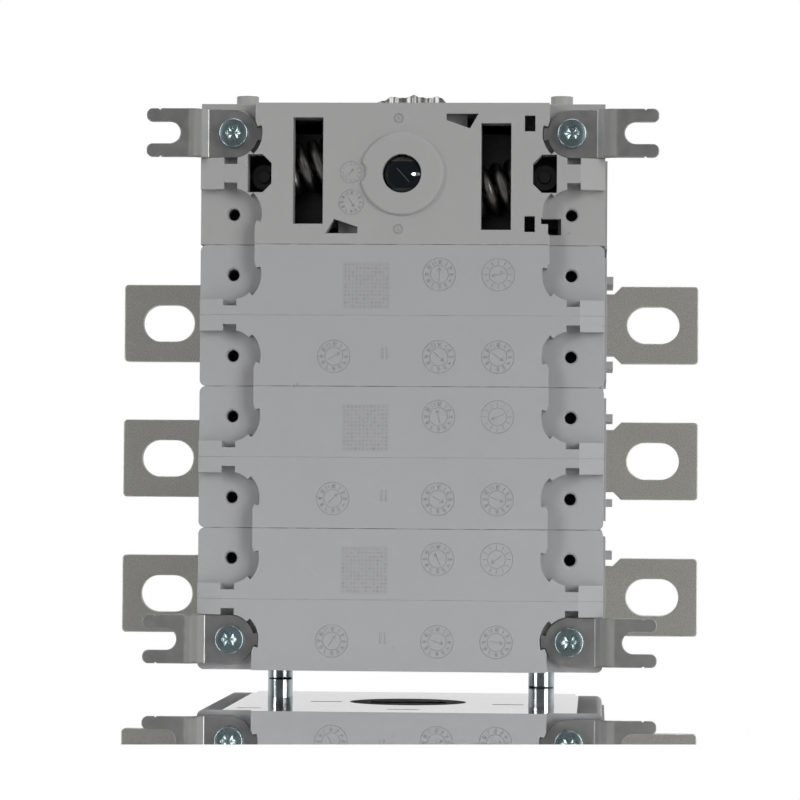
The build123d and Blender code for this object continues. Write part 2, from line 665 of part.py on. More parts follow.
def foot_post():
    """The solid corner behind a foot seat, which takes the screw and carries the frame plate."""
    hole_z = HOLE_INSET - HALF_MECHANISM
    return slab(-HALF_WIDTH + 1, -HOLE_X + FOOT_POST_HALF, REAR_WALL - 1, FRAME_Y,
                -HALF_MECHANISM + 1, hole_z + FOOT_POST_HALF)


def cover_post(x, z, y0, y1):
    """A square post for a cover screw, kept inside the module's walls."""
    half = COVER_POST_HALF
    post = slab(x - half, x + half, y0, y1, z - half, z + half)
    return post & slab(1 - HALF_WIDTH, HALF_WIDTH - 1, y0, y1, 1 - HALF_MECHANISM, HALF_MECHANISM - 1)


def cover_screw_places():
    """The four corners where the front cover is screwed on, in X and Z."""
    return [(x, z) for x in (-COVER_SCREW_X, COVER_SCREW_X) for z in (-COVER_SCREW_Z, COVER_SCREW_Z)]


def front_cover():
    """The mechanism's front cover, with a collar round the shaft's hub and two bare label fields."""
    half = HALF_MECHANISM
    back_y = BODY_DEPTH - COVER_THICKNESS
    outline = box_sketch(-HALF_WIDTH, HALF_WIDTH, -half, half)
    outline = fillet(outline.vertices(), MODULE_CORNER_R)
    cover = from_back(outline, back_y, BODY_DEPTH)
    cover -= slab(-HALF_WIDTH + WALL, HALF_WIDTH - WALL, back_y - 1, BODY_DEPTH - WALL,
                  -half + WALL, half - WALL)
    cover += from_back(Circle(COVER_COLLAR_R), BODY_DEPTH - WALL, BODY_DEPTH + COVER_COLLAR_DEPTH)
    cover += from_back(Circle(COVER_BEARING_R), back_y, BODY_DEPTH)
    cover -= along_y(HUB_R + SHAFT_CLEARANCE, 0, 0, back_y - 1, BODY_DEPTH + COVER_COLLAR_DEPTH + 1)
    for side in (-1, 1):
        label = Pos(side * LABEL_X, 0) * Rectangle(LABEL_WIDTH, LABEL_HEIGHT)
        cover -= from_back(label, BODY_DEPTH - LABEL_DEPTH, BODY_DEPTH + 1)
    for x, z in cover_screw_places():
        cover += cover_post(x, z, back_y, BODY_DEPTH)
        cover -= along_y(COVER_SCREW_R + COVER_SCREW_FIT, x, z, back_y - 1, BODY_DEPTH + 1)
        cover -= along_y(COVER_SCREW_HEAD_R + COVER_HEAD_FIT, x, z, cover_seat_y(), BODY_DEPTH + 1)
    return Pos(0, 0, MECHANISM_Z) * cover


def cover_seat_y():
    """Depth of the floor under the heads of the cover screws."""
    return BODY_DEPTH - COVER_SCREW_HEAD - COVER_SCREW_SUNK


def cover_screws():
    """Four sunk screws that hold the front cover."""
    screws = []
    seat_y = cover_seat_y()
    for x, z in cover_screw_places():
        screw = along_y(COVER_SCREW_R, 0, 0, seat_y - COVER_SCREW_LENGTH, seat_y)
        screw += along_y(COVER_SCREW_HEAD_R, 0, 0, seat_y, seat_y + COVER_SCREW_HEAD)
        star_y = seat_y + COVER_SCREW_HEAD - SCREW_STAR_DEPTH
        star = from_back(star_recess(COVER_SCREW_R), star_y, BODY_DEPTH)
        screws.append(Pos(x, 0, MECHANISM_Z + z) * (screw - star))
    return screws


def top_clip():
    """A thin wavy clip lying on top of the mechanism."""
    span = CLIP_TO_X - CLIP_FROM_X
    shares = [(0, 0), (0.2, 0.75), (0.42, 0.55), (0.53, 1.0), (0.64, 0.5), (0.85, 0.8), (1, 0)]
    points = [(CLIP_FROM_X + a * span, b * CLIP_HEIGHT + CLIP_THICKNESS / 2) for a, b in shares]
    wave = Polyline(*points)
    strip = trace(wave, CLIP_THICKNESS)
    return Pos(0, 0, TOP_Z) * from_back(strip, CLIP_Y - CLIP_WIDTH / 2, CLIP_Y + CLIP_WIDTH / 2)


def drive_shaft():
    """A stepped shaft from the back wall to the front hub, with a square socket for the handle's rod."""
    end_y = BODY_DEPTH + HUB_PROUD
    step_y = CRANK_FROM_Y + CRANK_THICKNESS
    steps = [(0, SHAFT_REAR_Y), (SHAFT_REAR_R, SHAFT_REAR_Y), (SHAFT_REAR_R, step_y),
             (SHAFT_R, step_y), (SHAFT_R, HUB_FROM_Y), (HUB_R, HUB_FROM_Y), (HUB_R, end_y),
             (0, end_y)]
    shaft = revolve(make_face(Polyline(*steps, close=True)), Axis.Y)
    shaft -= from_back(Rectangle(SOCKET_SIZE, SOCKET_SIZE), end_y - SOCKET_DEPTH, end_y + 1)
    return Pos(0, 0, MECHANISM_Z) * shaft


def crank_pin_places():
    """The crank's two pins at rest, up at the left and down at the right, in X and Z."""
    return [(-PIN_RISE, PIN_RISE), (PIN_RISE, -PIN_RISE)]


def toggle_crank():
    """A two-armed crank on the shaft with one pin at each end."""
    end_y = CRANK_FROM_Y + CRANK_THICKNESS
    outline = Circle(CRANK_HUB_R)
    for x, z in crank_pin_places():
        outline += Pos(x, z) * Circle(CRANK_EYE_R)
    outline += Rot(0, 0, 90 + TOGGLE_HALF) * Rectangle(2 * CRANK_PIN_ORBIT, 2 * CRANK_EYE_R)
    crank = from_back(outline - Circle(SHAFT_REAR_R), CRANK_FROM_Y, end_y)
    for x, z in crank_pin_places():
        crank += along_y(CRANK_PIN_R, x, z, CRANK_PIN_START_Y, end_y)
    return Pos(0, 0, MECHANISM_Z) * crank


def at_guide(solid, side):
    """Turn a guide's part, drawn from its pivot along +X, to its rest place at the left or right."""
    turned = Rot(0, -GUIDE_TILT, 0) * solid
    placed = Pos(-GUIDE_PIVOT_X, GUIDE_Y, 0) * turned
    if side > 0:
        placed = Rot(0, 180, 0) * placed
    return Pos(0, 0, MECHANISM_Z) * placed


def spring_guide(side):
    """A guide from its pivot eye through the spring to a fork that straddles the crank's pin."""
    half = GUIDE_THICKNESS / 2
    eye = from_back(Circle(GUIDE_EYE_R), -half, half)
    rod = Pos(GUIDE_SHOULDER / 2, 0, 0) * Rot(0, 90, 0) * Cylinder(GUIDE_ROD_R, GUIDE_SHOULDER)
    fork = box_sketch(GUIDE_SHOULDER, GUIDE_FORK_END, -GUIDE_FORK_HALF_WIDTH, GUIDE_FORK_HALF_WIDTH)
    gap_end = GUIDE_FORK_FLOOR + GUIDE_FORK_HALF_GAP
    fork -= Pos(gap_end, 0) * Circle(GUIDE_FORK_HALF_GAP)
    fork -= box_sketch(gap_end, GUIDE_FORK_END + 1, -GUIDE_FORK_HALF_GAP, GUIDE_FORK_HALF_GAP)
    seat = Pos(GUIDE_EYE_R + SPRING_SEAT_THICKNESS / 2, 0, 0) * Rot(0, 90, 0)
    seat = seat * Cylinder(SPRING_SEAT_R, SPRING_SEAT_THICKNESS)
    guide = eye + rod + from_back(fork, -half, half) + seat
    guide -= along_y(GUIDE_PIN_R + GUIDE_FIT, 0, 0, -half - 1, half + 1)
    return at_guide(guide, side)


def toggle_spring(side):
    """A compression spring of round wire between the guide's seat and its fork."""
    start = GUIDE_EYE_R + SPRING_SEAT_THICKNESS + SPRING_WIRE_R + GUIDE_FIT
    length = GUIDE_SHOULDER - SPRING_WIRE_R - GUIDE_FIT - start
    steps = round(SPRING_TURNS * SPRING_SIDES)
    points = []
    for n in range(steps + 1):
        angle = radians(SPRING_START) + 2 * pi * n / SPRING_SIDES
        points.append((start + length * n / steps, SPRING_COIL_R * cos(angle), SPRING_COIL_R * sin(angle)))
    path = Polyline(*points)
    section = Plane(origin=path @ 0, z_dir=path % 0) * Circle(SPRING_WIRE_R)
    coil = sweep(section, path, transition=Transition.RIGHT)
    return at_guide(coil, side)


def pivot_pins():
    """The pins in the frame plate that the guides swing on."""
    pins = []
    for side in (-1, 1):
        pins.append(along_y(GUIDE_PIN_R, side * GUIDE_PIVOT_X, MECHANISM_Z,
                            GUIDE_Y - GUIDE_THICKNESS / 2 - GUIDE_PIN_PROUD, FRAME_Y + FRAME_THICKNESS))
    return pins


def mechanism_frame():
    """The steel plate behind the toggle that holds both pivots and steadies the shaft."""
    outline = box_sketch(-FRAME_HALF_WIDTH, FRAME_HALF_WIDTH, -FRAME_HALF_HEIGHT, FRAME_HALF_HEIGHT)
    outline = chamfer(outline.vertices(), FRAME_CORNER)
    outline -= Circle(SHAFT_R + SHAFT_CLEARANCE)
    for side in (-1, 1):
        outline -= Pos(side * GUIDE_PIVOT_X, 0) * Circle(GUIDE_PIN_R)
        outline -= Pos(side * GUIDE_PIVOT_X / 2, 0) * SlotOverall(FRAME_SLOT_LENGTH, FRAME_SLOT_WIDTH)
    return Pos(0, 0, MECHANISM_Z) * from_back(outline, FRAME_Y, FRAME_Y + FRAME_THICKNESS)


def ball():
    """The ball of the drive pin, turned about Y from short straight flanks."""
    angles = [radians(180 * n / BALL_SIDES - 90) for n in range(BALL_SIDES + 1)]
    profile = [(BALL_R * cos(angle), BALL_R * sin(angle)) for angle in angles]
    return revolve(make_face(Polyline(*profile, close=True)), Axis.Y)


def ball_disc():
    """A disc on the shaft with a ball-ended pin that reaches back into the rotor's fork."""
    turn = radians(TOGGLE_HALF)
    x = -BALL_ORBIT * sin(turn)
    z = -BALL_ORBIT * cos(turn)
    ball_y = ROTOR_Y + BALL_LEVER
    arm = BALL_R + BALL_ARM_MARGIN
    outline = Circle(BALL_DISC_R) + Pos(x, z) * Circle(arm)
    outline += Rot(0, 0, -TOGGLE_HALF) * box_sketch(-arm, arm, -BALL_ORBIT, 0)
    disc = from_back(outline - Circle(SHAFT_R), BALL_DISC_Y, BALL_DISC_Y + BALL_DISC_THICKNESS)
    disc += along_y(BALL_NECK_R, x, z, ball_y, BALL_DISC_Y + 1)
    disc += Pos(x, ball_y, z) * ball()
    return Pos(0, 0, MECHANISM_Z) * disc


def rotor_head():
    """The rotor's top: a disc in the floor's bore, a dog down into the first drum, and the fork."""
    floor_z = MECHANISM_Z - HALF_MECHANISM
    fork_low = floor_z + WALL + FORK_FLOOR_GAP
    fork_top = MECHANISM_Z - SHAFT_R - FORK_TOP_GAP
    half_gap = BALL_R + FORK_SLACK
    half_width = half_gap + FORK_WALL
    disc = from_below(Circle(ROTOR_R), floor_z + ROTOR_END_GAP / 2, floor_z + HEAD_THICKNESS)
    fork = box_sketch(-half_width, half_width, -half_width, FORK_REACH)
    fork -= box_sketch(-half_gap, half_gap, FORK_ROOT, FORK_REACH + 1)
    stalk = box_sketch(-half_width, half_width, -half_width, FORK_ROOT - 0.5)
    head = disc + from_below(fork, fork_low, fork_top)
    head += from_below(stalk, floor_z + HEAD_THICKNESS - 0.5, fork_low + 0.5)
    head = Rot(0, 0, FORK_HALF_TURN) * head
    dog = Box(DOG_LENGTH, DOG_WIDTH, DOG_HEIGHT + ROTOR_END_GAP)
    head += Pos(0, 0, floor_z - (DOG_HEIGHT - ROTOR_END_GAP) / 2) * dog
    return Pos(0, ROTOR_Y, 0) * head


def save(name, solids):
    """Write one node's solids to its own file."""
    group = list(solids) if isinstance(solids, (list, tuple)) else [solids]
    placed = [Pos(0, BACK_GAP, 0) * solid for solid in group]
    shape = placed[0] if len(placed) == 1 else Compound(children=placed)
    export_step(shape, f"parts/{name}.step")


def make_poles():
    """Housings, terminals, rotors and contacts of every pole."""
    upper = half_shell()
    lower = mirror(upper, about=Plane.XY) - key_slots()
    right = terminal()
    left = mirror(right, about=Plane.YZ)
    for n, z in enumerate(POLE_Z, start=1):
        up = Pos(0, 0, z)
        save(f"pole_{n}_upper_shell", up * upper)
        save(f"pole_{n}_lower_shell", up * lower)
        save(f"terminal_right_{n}", up * right)
        save(f"terminal_left_{n}", up * left)
        save(f"rotor_drum_{n}", up * rotor_drum(n < POLE_COUNT))
        save(f"contact_bridge_{n}", [up * blade for blade in contact_bridge()])
        save(f"contact_leaf_springs_{n}", [up * leaf for leaf in contact_leaves()])
        save(f"arc_plates_{n}", [up * plate for plate in arc_plates()])


def make_feet():
    """The four mounting feet and their screws."""
    height = TOP_Z - HOLE_INSET
    foot = Pos(-HOLE_X, 0, -height) * mounting_foot()
    screw = Pos(-HOLE_X, 0, -height) * foot_screw()
    names = ["bottom_left", "bottom_right", "top_left", "top_right"]
    for name, solid in zip(names, four_ways(foot)):
        save(f"mounting_foot_{name}", solid)
    save("foot_screws", four_ways(screw))


def make_mechanism():
    """The case, the toggle and the drive to the rotor."""
    save("mechanism_case", mechanism_case())
    save("mechanism_front_cover", front_cover())
    save("cover_screws", cover_screws())
    save("top_clip", top_clip())
    save("mechanism_frame", mechanism_frame())
    save("pivot_pins", pivot_pins())
    save("drive_shaft", drive_shaft())
    save("toggle_crank", toggle_crank())
    save("ball_disc", ball_disc())
    save("rotor_head", rotor_head())
    for side, name in ((-1, "left"), (1, "right")):
        save(f"spring_guide_{name}", spring_guide(side))
        save(f"toggle_spring_{name}", toggle_spring(side))


def main():
    os.makedirs("parts", exist_ok=True)
    make_poles()
    make_feet()
    make_mechanism()
    save("tie_rods", tie_rods())


main()
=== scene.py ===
"""Looks of a modular switch disconnector, laid out as an add-on and run as a script."""

import math
from functools import reduce

import bpy
import numpy as np
from bpy.props import FloatProperty, FloatVectorProperty, IntProperty, PointerProperty
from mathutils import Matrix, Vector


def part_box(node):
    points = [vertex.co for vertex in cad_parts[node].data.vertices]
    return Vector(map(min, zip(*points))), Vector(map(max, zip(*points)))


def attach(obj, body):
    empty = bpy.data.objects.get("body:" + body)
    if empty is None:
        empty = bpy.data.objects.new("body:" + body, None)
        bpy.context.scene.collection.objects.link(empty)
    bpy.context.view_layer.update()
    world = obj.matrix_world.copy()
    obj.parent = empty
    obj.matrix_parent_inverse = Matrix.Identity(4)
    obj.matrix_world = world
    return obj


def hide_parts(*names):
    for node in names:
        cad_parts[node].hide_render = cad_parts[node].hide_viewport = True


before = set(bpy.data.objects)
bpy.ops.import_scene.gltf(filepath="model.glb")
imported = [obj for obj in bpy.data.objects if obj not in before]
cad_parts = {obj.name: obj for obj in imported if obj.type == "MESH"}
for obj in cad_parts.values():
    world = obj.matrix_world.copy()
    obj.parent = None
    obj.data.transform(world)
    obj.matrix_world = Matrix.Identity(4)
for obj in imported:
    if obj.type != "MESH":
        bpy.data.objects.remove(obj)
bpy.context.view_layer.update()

bl_info = {
    "name": "Switch disconnector looks",
    "version": (1, 0, 0),
    "blender": (4, 5, 0),
    "location": "View3D > Sidebar > Disconnector",
    "description": "Dresses the packed frame of a switch disconnector and lights it",
    "category": "Object",
}

# Heights in the stack, and how far a pole's dials stand from its middle, in millimetres
MM = 0.001
POLE_HEIGHTS = (17.5, -17.5, -52.5)
MODULE_SEAMS = (35.0, 0.0, -35.0)
MECHANISM_HEIGHT = 52.5
DIAL_OFFSET = 10.15

# Places in millimetres: a spring guide's pivot in X and Y, the foot screws in X and Z, the rods in
# X and Y, and a pole's plain hatched square from the pole's middle in X and Z
GUIDE_PIVOT = (35.0, 13.5)
FOOT_SCREW = (41.8, 62.5)
TIE_RODS = ((-34.6, 63.0), (34.6, 29.0))
HATCH_PLACE = (-8.6, 7.35)

# The guides' tilt at rest, and how far from its guide's pivot each spring starts and ends, in metres
GUIDE_TILT = math.radians(13.362)
SPRING_SEATS = (0.00445, 0.01895)

# Low and high corner of the web in the upper slanted window, in millimetres from the shaft's axis
WEB_CORNERS = ((10.7, 4.2, 11.0), (15.9, 6.4, 15.0))

# How much longer than its solid the clip is drawn at the left and at the right, in metres
CLIP_REACH = (0.0022, 0.0014)

# The housings' back wall stands this far in front of the mounting plane. Depths of the pieces drawn
# here, but for the clip's, are measured from that wall.
BACK_WALL = 0.0008
SHAFT_AXIS = (0.0, 0.0, MECHANISM_HEIGHT * MM)

# Stretches over which a finish changes, in metres. Round the shaft's axis they are the outside and
# the inside of the boss's soft flank. From the middle outwards they are the end of the smooth
# underside, where the feet's folds take a painted shade, and where they are drawn round, each with
# its rise and its fall. The fold highlight line is the middle of a thin painted highlight along a
# fold.
BOSS_OUTSIDE = (0.0120, 0.0125)
BOSS_INSIDE = (0.0070, 0.0080)
UNDERSIDE_END = (0.0440, 0.0436)
FOLD_SHADE = ((0.0479, 0.0483), (0.0530, 0.0508))
FOLD_ROUND = ((0.0492, 0.0500), (0.0532, 0.0520))
FOLD_HIGHLIGHT_LINE = 0.0481

# The floor's height, the two ends of its front edge, where the photograph is cut off, and its far end
FLOOR_LEVEL = -0.0750
FLOOR_EDGE = ((-6.0, -1.14118), (6.0, 0.76460))
FLOOR_BACK = 6.0

# Soft lights aimed at the origin: place, width, height and watts
LIGHTS = {
    "right_panel": ((1.0, -0.9, 0.35), 0.7, 1.0, 15.0),
    "left_panel": ((-1.1, -0.9, 0.45), 0.5, 0.9, 11.0),
    "top_panel": ((0.1, 0.1, 1.3), 1.2, 0.8, 9.0),
}

# The camera's place, its turns in degrees and its focal length on a film 36 mm wide
CAMERA_PLACE = (0.048172, -0.871993, -0.028001)
CAMERA_TURNS = (91.61707, -0.40346, 3.15284)
FOCAL_LENGTH = 160.023
FILM_WIDTH = 36.0

# Which nodes take which finish, beside the pieces that this script replaces
FINISHES = {
    "housing_grey": ["mechanism_case"]
    + [f"pole_{n}_{half}_shell" for n in (1, 2, 3) for half in ("upper", "lower")],
    "cover_grey": ["mechanism_front_cover"],
    "tinned_copper": [f"terminal_{side}_{n}" for n in (1, 2, 3) for side in ("left", "right")],
    "foot_steel": [f"mounting_foot_{v}_{h}" for v in ("top", "bottom") for h in ("left", "right")],
    "zinc_steel": ["cover_screws"],
    "black_steel": ["mechanism_frame", "pivot_pins", "toggle_crank", "spring_guide_left",
                    "spring_guide_right"],
    "bare_steel": ["ball_disc"] + [f"arc_plates_{n}" for n in (1, 2, 3)],
    "spring_steel": [f"contact_leaf_springs_{n}" for n in (1, 2, 3)],
    "copper": [f"contact_bridge_{n}" for n in (1, 2, 3)],
    "rotor_black": ["rotor_head"] + [f"rotor_drum_{n}" for n in (1, 2, 3)],
}


def tint(name, description, default):
    """A colour that the user can change."""
    return FloatVectorProperty(name=name, description=description, subtype="COLOR", default=default,
                               min=0, max=1)


def small_size(name, description, default, low, high):
    """A length in metres that the user can change."""
    return FloatProperty(name=name, description=description, subtype="DISTANCE", unit="LENGTH",
                         default=default, min=low, max=high)


class DisconnectorLooks(bpy.types.PropertyGroup):
    """Colours and small sizes of the dressed switch."""

    pole_colour: tint("Poles", "Grey of the pole mouldings", (0.282, 0.284, 0.290))
    case_colour: tint("Mechanism", "Grey of the mechanism's case", (0.272, 0.272, 0.269))
    tin_colour: tint("Tin", "Dull tin on the terminals", (0.44, 0.435, 0.40))
    foot_colour: tint("Feet", "Rolled steel of the feet", (0.28, 0.28, 0.275))
    zinc_colour: tint("Zinc", "Blue zinc of the screws", (0.30, 0.385, 0.40))
    wire_radius: small_size("Spring wire", "Radius of the toggle springs' wire", 0.0014,
                            0.0005, 0.0016)
    coil_radius: small_size("Spring coil", "Radius of the coil at the middle of the wire", 0.0053,
                            0.003, 0.006)
    spring_turns: FloatProperty(
        name="Spring turns", description="Turns of each toggle spring", default=3.3, min=1, max=6)
    mark_height: small_size("Mark relief", "How far the moulded marks stand out", 0.00009, 0, 0.0005)
    thread_pitch: small_size("Thread pitch", "Pitch of the foot screws' thread", 0.0014,
                             0.0005, 0.003)
    round_segments: IntProperty(
        name="Segments", description="Steps round a turned piece", default=96, min=24, max=256)
    light_power: FloatProperty(
        name="Light", description="Share of the studio lights' full power", subtype="FACTOR",
        default=1.0, min=0, max=4)


def looks():
    """The property group of the scene."""
    return bpy.context.scene.disconnector_looks


# Surfaces


def grid_faces(rows, cols, wrap_rows=False, wrap_cols=False):
    """Triangles of a grid, two to a cell. A wrapped side joins its last line to its first."""
    r = np.arange(rows if wrap_rows else rows - 1)
    c = np.arange(cols if wrap_cols else cols - 1)
    r, c = np.meshgrid(r, c, indexing="ij")
    a = (r * cols + c).ravel()
    b = (r * cols + (c + 1) % cols).ravel()
    d = (((r + 1) % rows) * cols + c).ravel()
    e = (((r + 1) % rows) * cols + (c + 1) % cols).ravel()
    return np.concatenate([np.stack([a, b, e], 1), np.stack([a, e, d], 1)])


def weld(points, faces):
    """Joins points that lie within a tenth of a micron and drops the faces that this closes."""
    key = np.round(points * 1e7).astype(np.int64)
    _, first, back = np.unique(key, axis=0, return_index=True, return_inverse=True)
    faces = back.reshape(-1)[faces]
    kept = (faces != np.roll(faces, 1, axis=1)).all(axis=1)
    return points[first], faces[kept]


def outwards(points, faces):
    """Turns a closed surface so that its signed volume, the sum of a.(b x c) / 6, is positive."""
    a, b, c = (points[faces[:, k]] for k in range(3))
    volume = np.einsum("ij,ij->i", a, np.cross(b, c)).sum()
    return faces if volume > 0 else faces[:, ::-1]


def closed_grid(points, wrap_rows=False, wrap_cols=True):
    """A closed surface from a grid of points, its poles and seams welded and its faces outwards."""
    rows, cols = points.shape[:2]
    verts, faces = weld(points.reshape(-1, 3), grid_faces(rows, cols, wrap_rows, wrap_cols))
    return verts, outwards(verts, faces)


def many_closed(points):
    """Closed surfaces of one kind: points is (pieces, rows, cols, 3), wrapped along cols."""
    count, rows, cols = points.shape[:3]
    first = points[0].reshape(-1, 3)
    one = outwards(first - first.mean(0), grid_faces(rows, cols, False, True))
    shift = (np.arange(count) * rows * cols)[:, None, None]
    return points.reshape(-1, 3), (one[None] + shift).reshape(-1, 3)


def joined(surfaces):
    """Several surfaces as one list of points and one of faces."""
    shift = np.cumsum([0] + [len(v) for v, _ in surfaces[:-1]])
    return (np.concatenate([v for v, _ in surfaces]),
            np.concatenate([f + s for (_, f), s in zip(surfaces, shift)]))


def turned(profile, origin, axis, across, segments):
    """A turned piece: row k is a circle of radius profile[k][1] at profile[k][0] along the axis."""
    axis, across, profile = (np.asarray(each, float) for each in (axis, across, profile))
    third = np.cross(axis, across)
    angle = np.linspace(0, 2 * np.pi, segments, endpoint=False)
    ring = np.cos(angle)[:, None] * across + np.sin(angle)[:, None] * third
    along = profile[:, 0][:, None, None] * axis
    return closed_grid(np.asarray(origin) + along + profile[:, 1][:, None, None] * ring[None])


def rounded(corners, radius, steps=4):
    """A profile whose corners are cut by quadratic curves that start radius away from each."""
    corners = np.asarray(corners, float)
    here = corners[1:-1]
    t = np.linspace(0, 1, steps + 1)[None, :, None]
    back, ahead = corners[:-2] - here, corners[2:] - here
    back_length = np.linalg.norm(back, axis=1, keepdims=True)
    ahead_length = np.linalg.norm(ahead, axis=1, keepdims=True)
    cut = np.minimum(radius, np.minimum(back_length, ahead_length) * 0.49)
    start = (here + back / back_length * cut)[:, None]
    end = (here + ahead / ahead_length * cut)[:, None]
    curve = (1 - t) ** 2 * start + 2 * t * (1 - t) * here[:, None] + t ** 2 * end
    return np.concatenate([corners[:1], curve.reshape(-1, 2), corners[-1:]])


def new_piece(name, surface, finish, body, stands_for=(), sharp=35.0, wall=BACK_WALL):
    """Writes a surface, its depths counted from the wall, into a mesh that rides on its body."""
    points, faces = surface
    points = points + np.array([0.0, wall, 0.0])
    mesh = bpy.data.meshes.new(name)
    mesh.vertices.add(len(points))
    mesh.vertices.foreach_set("co", points.astype(np.float32).ravel())
    mesh.loops.add(faces.size)
    mesh.loops.foreach_set("vertex_index", faces.astype(np.int32).ravel())
    mesh.polygons.add(len(faces))
    mesh.polygons.foreach_set("loop_start", np.arange(0, faces.size, 3, dtype=np.int32))
    mesh.polygons.foreach_set("use_smooth", np.ones(len(faces), bool))
    mesh.update(calc_edges=True)
    mesh.set_sharp_from_angle(angle=math.radians(sharp))
    mesh.materials.append(material(finish))
    piece = bpy.data.objects.new(name, mesh)
    bpy.context.scene.collection.objects.link(piece)
    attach(piece, body)
    if stands_for:
        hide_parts(*stands_for)
    return piece


# Materials


class Nodes:
    """A short way to lay out the nodes of one tree."""

    def __init__(self, tree):
        self.tree = tree

    def add(self, kind, inputs=None, **settings):
        """Adds a node, sets its properties, and links or sets its inputs by name or number."""
        node = self.tree.nodes.new(kind)
        for key, value in settings.items():
            setattr(node, key, value)
        for key, value in (inputs or {}).items():
            self.feed(node.inputs[key], value)
        return node

    def feed(self, socket, value):
        """Links a socket to another, or sets its value."""
        if isinstance(value, bpy.types.NodeSocket):
            self.tree.links.new(value, socket)
        else:
            socket.default_value = value

    def math(self, operation, a, b=0.0, c=0.0):
        """One sum on values."""
        return self.add("ShaderNodeMath", {0: a, 1: b, 2: c}, operation=operation).outputs[0]

    def times(self, a, b):
        """A product of values."""
        return self.math("MULTIPLY", a, b)

    def highest(self, masks):
        """The highest of several masks."""
        return reduce(lambda a, b: self.math("MAXIMUM", a, b), masks)

    def mix(self, share, a, b):
        """A colour between a and b."""
        node = self.add("ShaderNodeMix", data_type="RGBA")
        self.feed(node.inputs[0], share)
        self.feed(node.inputs[6], a if isinstance(a, bpy.types.NodeSocket) else (*a, 1))
        self.feed(node.inputs[7], b if isinstance(b, bpy.types.NodeSocket) else (*b, 1))
        return node.outputs[2]

    def noise(self, place, scale, detail=4.0, roughness=0.55):
        """Noise on a position, from 0 to 1."""
        node = self.add("ShaderNodeTexNoise", {
            "Vector": place, "Scale": scale, "Detail": detail, "Roughness": roughness})
        return node.outputs["Fac"]

    def ramp(self, value, low, high):
        """A value stretched so that low gives 0 and high gives 1, with smooth ends."""
        node = self.add("ShaderNodeMapRange", {
            "Value": value, "From Min": low, "From Max": high}, interpolation_type="SMOOTHSTEP")
        return node.outputs["Result"]

    def stretched(self, place, factors):
        """A position with each axis multiplied by its factor."""
        node = self.add("ShaderNodeVectorMath", {0: place, 1: factors}, operation="MULTIPLY")
        return node.outputs[0]


def group(name, inputs, outputs):
    """A new shader node group: its tree, its nodes, what comes in and what goes out."""
    tree = bpy.data.node_groups.new(name, "ShaderNodeTree")
    for label, kind, default in inputs:
        socket = tree.interface.new_socket(name=label, in_out="INPUT", socket_type=kind)
        if default is not None:
            socket.default_value = default
    for label, kind in outputs:
        tree.interface.new_socket(name=label, in_out="OUTPUT", socket_type=kind)
    nodes = Nodes(tree)
    return tree, nodes, nodes.add("NodeGroupInput").outputs, nodes.add("NodeGroupOutput").inputs


def moulded_grain_group():
    """Spark-eroded grain: fine noise for the relief, broad noise for the tone."""
    tree, n, given, out = group(
        "Moulded grain",
        [("Position", "NodeSocketVector", None), ("Grain size", "NodeSocketFloat", 0.00025)],
        [("Height", "NodeSocketFloat"), ("Mottle", "NodeSocketFloat")])
    scale = n.math("DIVIDE", 1.0, given["Grain size"])
    fine = n.noise(given["Position"], scale, 3.0, 0.6)
    coarse = n.noise(given["Position"], n.times(scale, 0.28), 2.0)
    n.feed(out["Height"], n.math("MULTIPLY_ADD", fine, 0.6, n.times(coarse, 0.4)))
    n.feed(out["Mottle"], n.noise(given["Position"], 55.0, 5.0, 0.6))
    return tree


def handled_group():
    """Specks and thin scuffs: thresholds on noise, and on noise stretched in two slanted ways."""
    tree, n, given, out = group(
        "Handling",
        [("Position", "NodeSocketVector", None), ("Specks", "NodeSocketFloat", 0.5),
         ("Scuffs", "NodeSocketFloat", 0.5)],
        [("Specks", "NodeSocketFloat"), ("Scuffs", "NodeSocketFloat")])
    spots = n.add("ShaderNodeTexVoronoi", {"Vector": given["Position"], "Scale": 230.0},
                  feature="F1")
    near = n.ramp(spots.outputs["Distance"], 0.12, 0.05)
    chosen = n.ramp(n.noise(given["Position"], 90.0, 2.0), 0.60, 0.72)
    n.feed(out["Specks"], n.times(n.times(near, chosen), given["Specks"]))
    lines = []
    for turn, factors in ((0.6, (2600.0, 60.0, 60.0)), (-0.4, (90.0, 90.0, 3100.0))):
        spun = n.add("ShaderNodeMapping", {"Vector": given["Position"],
                                           "Rotation": (turn, turn * 1.3, turn)})
        lines.append(n.ramp(n.noise(n.stretched(spun.outputs[0], factors), 1.0, 2.0), 0.68, 0.74))
    patchy = n.ramp(n.noise(given["Position"], 38.0, 2.0), 0.5, 0.66)
    both = n.times(n.highest(lines), patchy)
    n.feed(out["Scuffs"], n.times(both, given["Scuffs"]))
    return tree


def soft_edge_group():
    """Rounded edges: the normal averaged within a radius, and how far it leans from the face."""
    tree, n, given, out = group(
        "Soft edge",
        [("Radius", "NodeSocketFloat", 0.0003)],
        [("Normal", "NodeSocketVector"), ("Edge", "NodeSocketFloat")])
    bevel = n.add("ShaderNodeBevel", {"Radius": given["Radius"]}, samples=4)
    flat = n.add("ShaderNodeNewGeometry")
    lean = n.add("ShaderNodeVectorMath", {0: bevel.outputs[0], 1: flat.outputs["True Normal"]},
                 operation="DOT_PRODUCT")
    n.feed(out["Normal"], bevel.outputs[0])
    n.feed(out["Edge"], n.ramp(lean.outputs["Value"], 0.999, 0.80))
    return tree


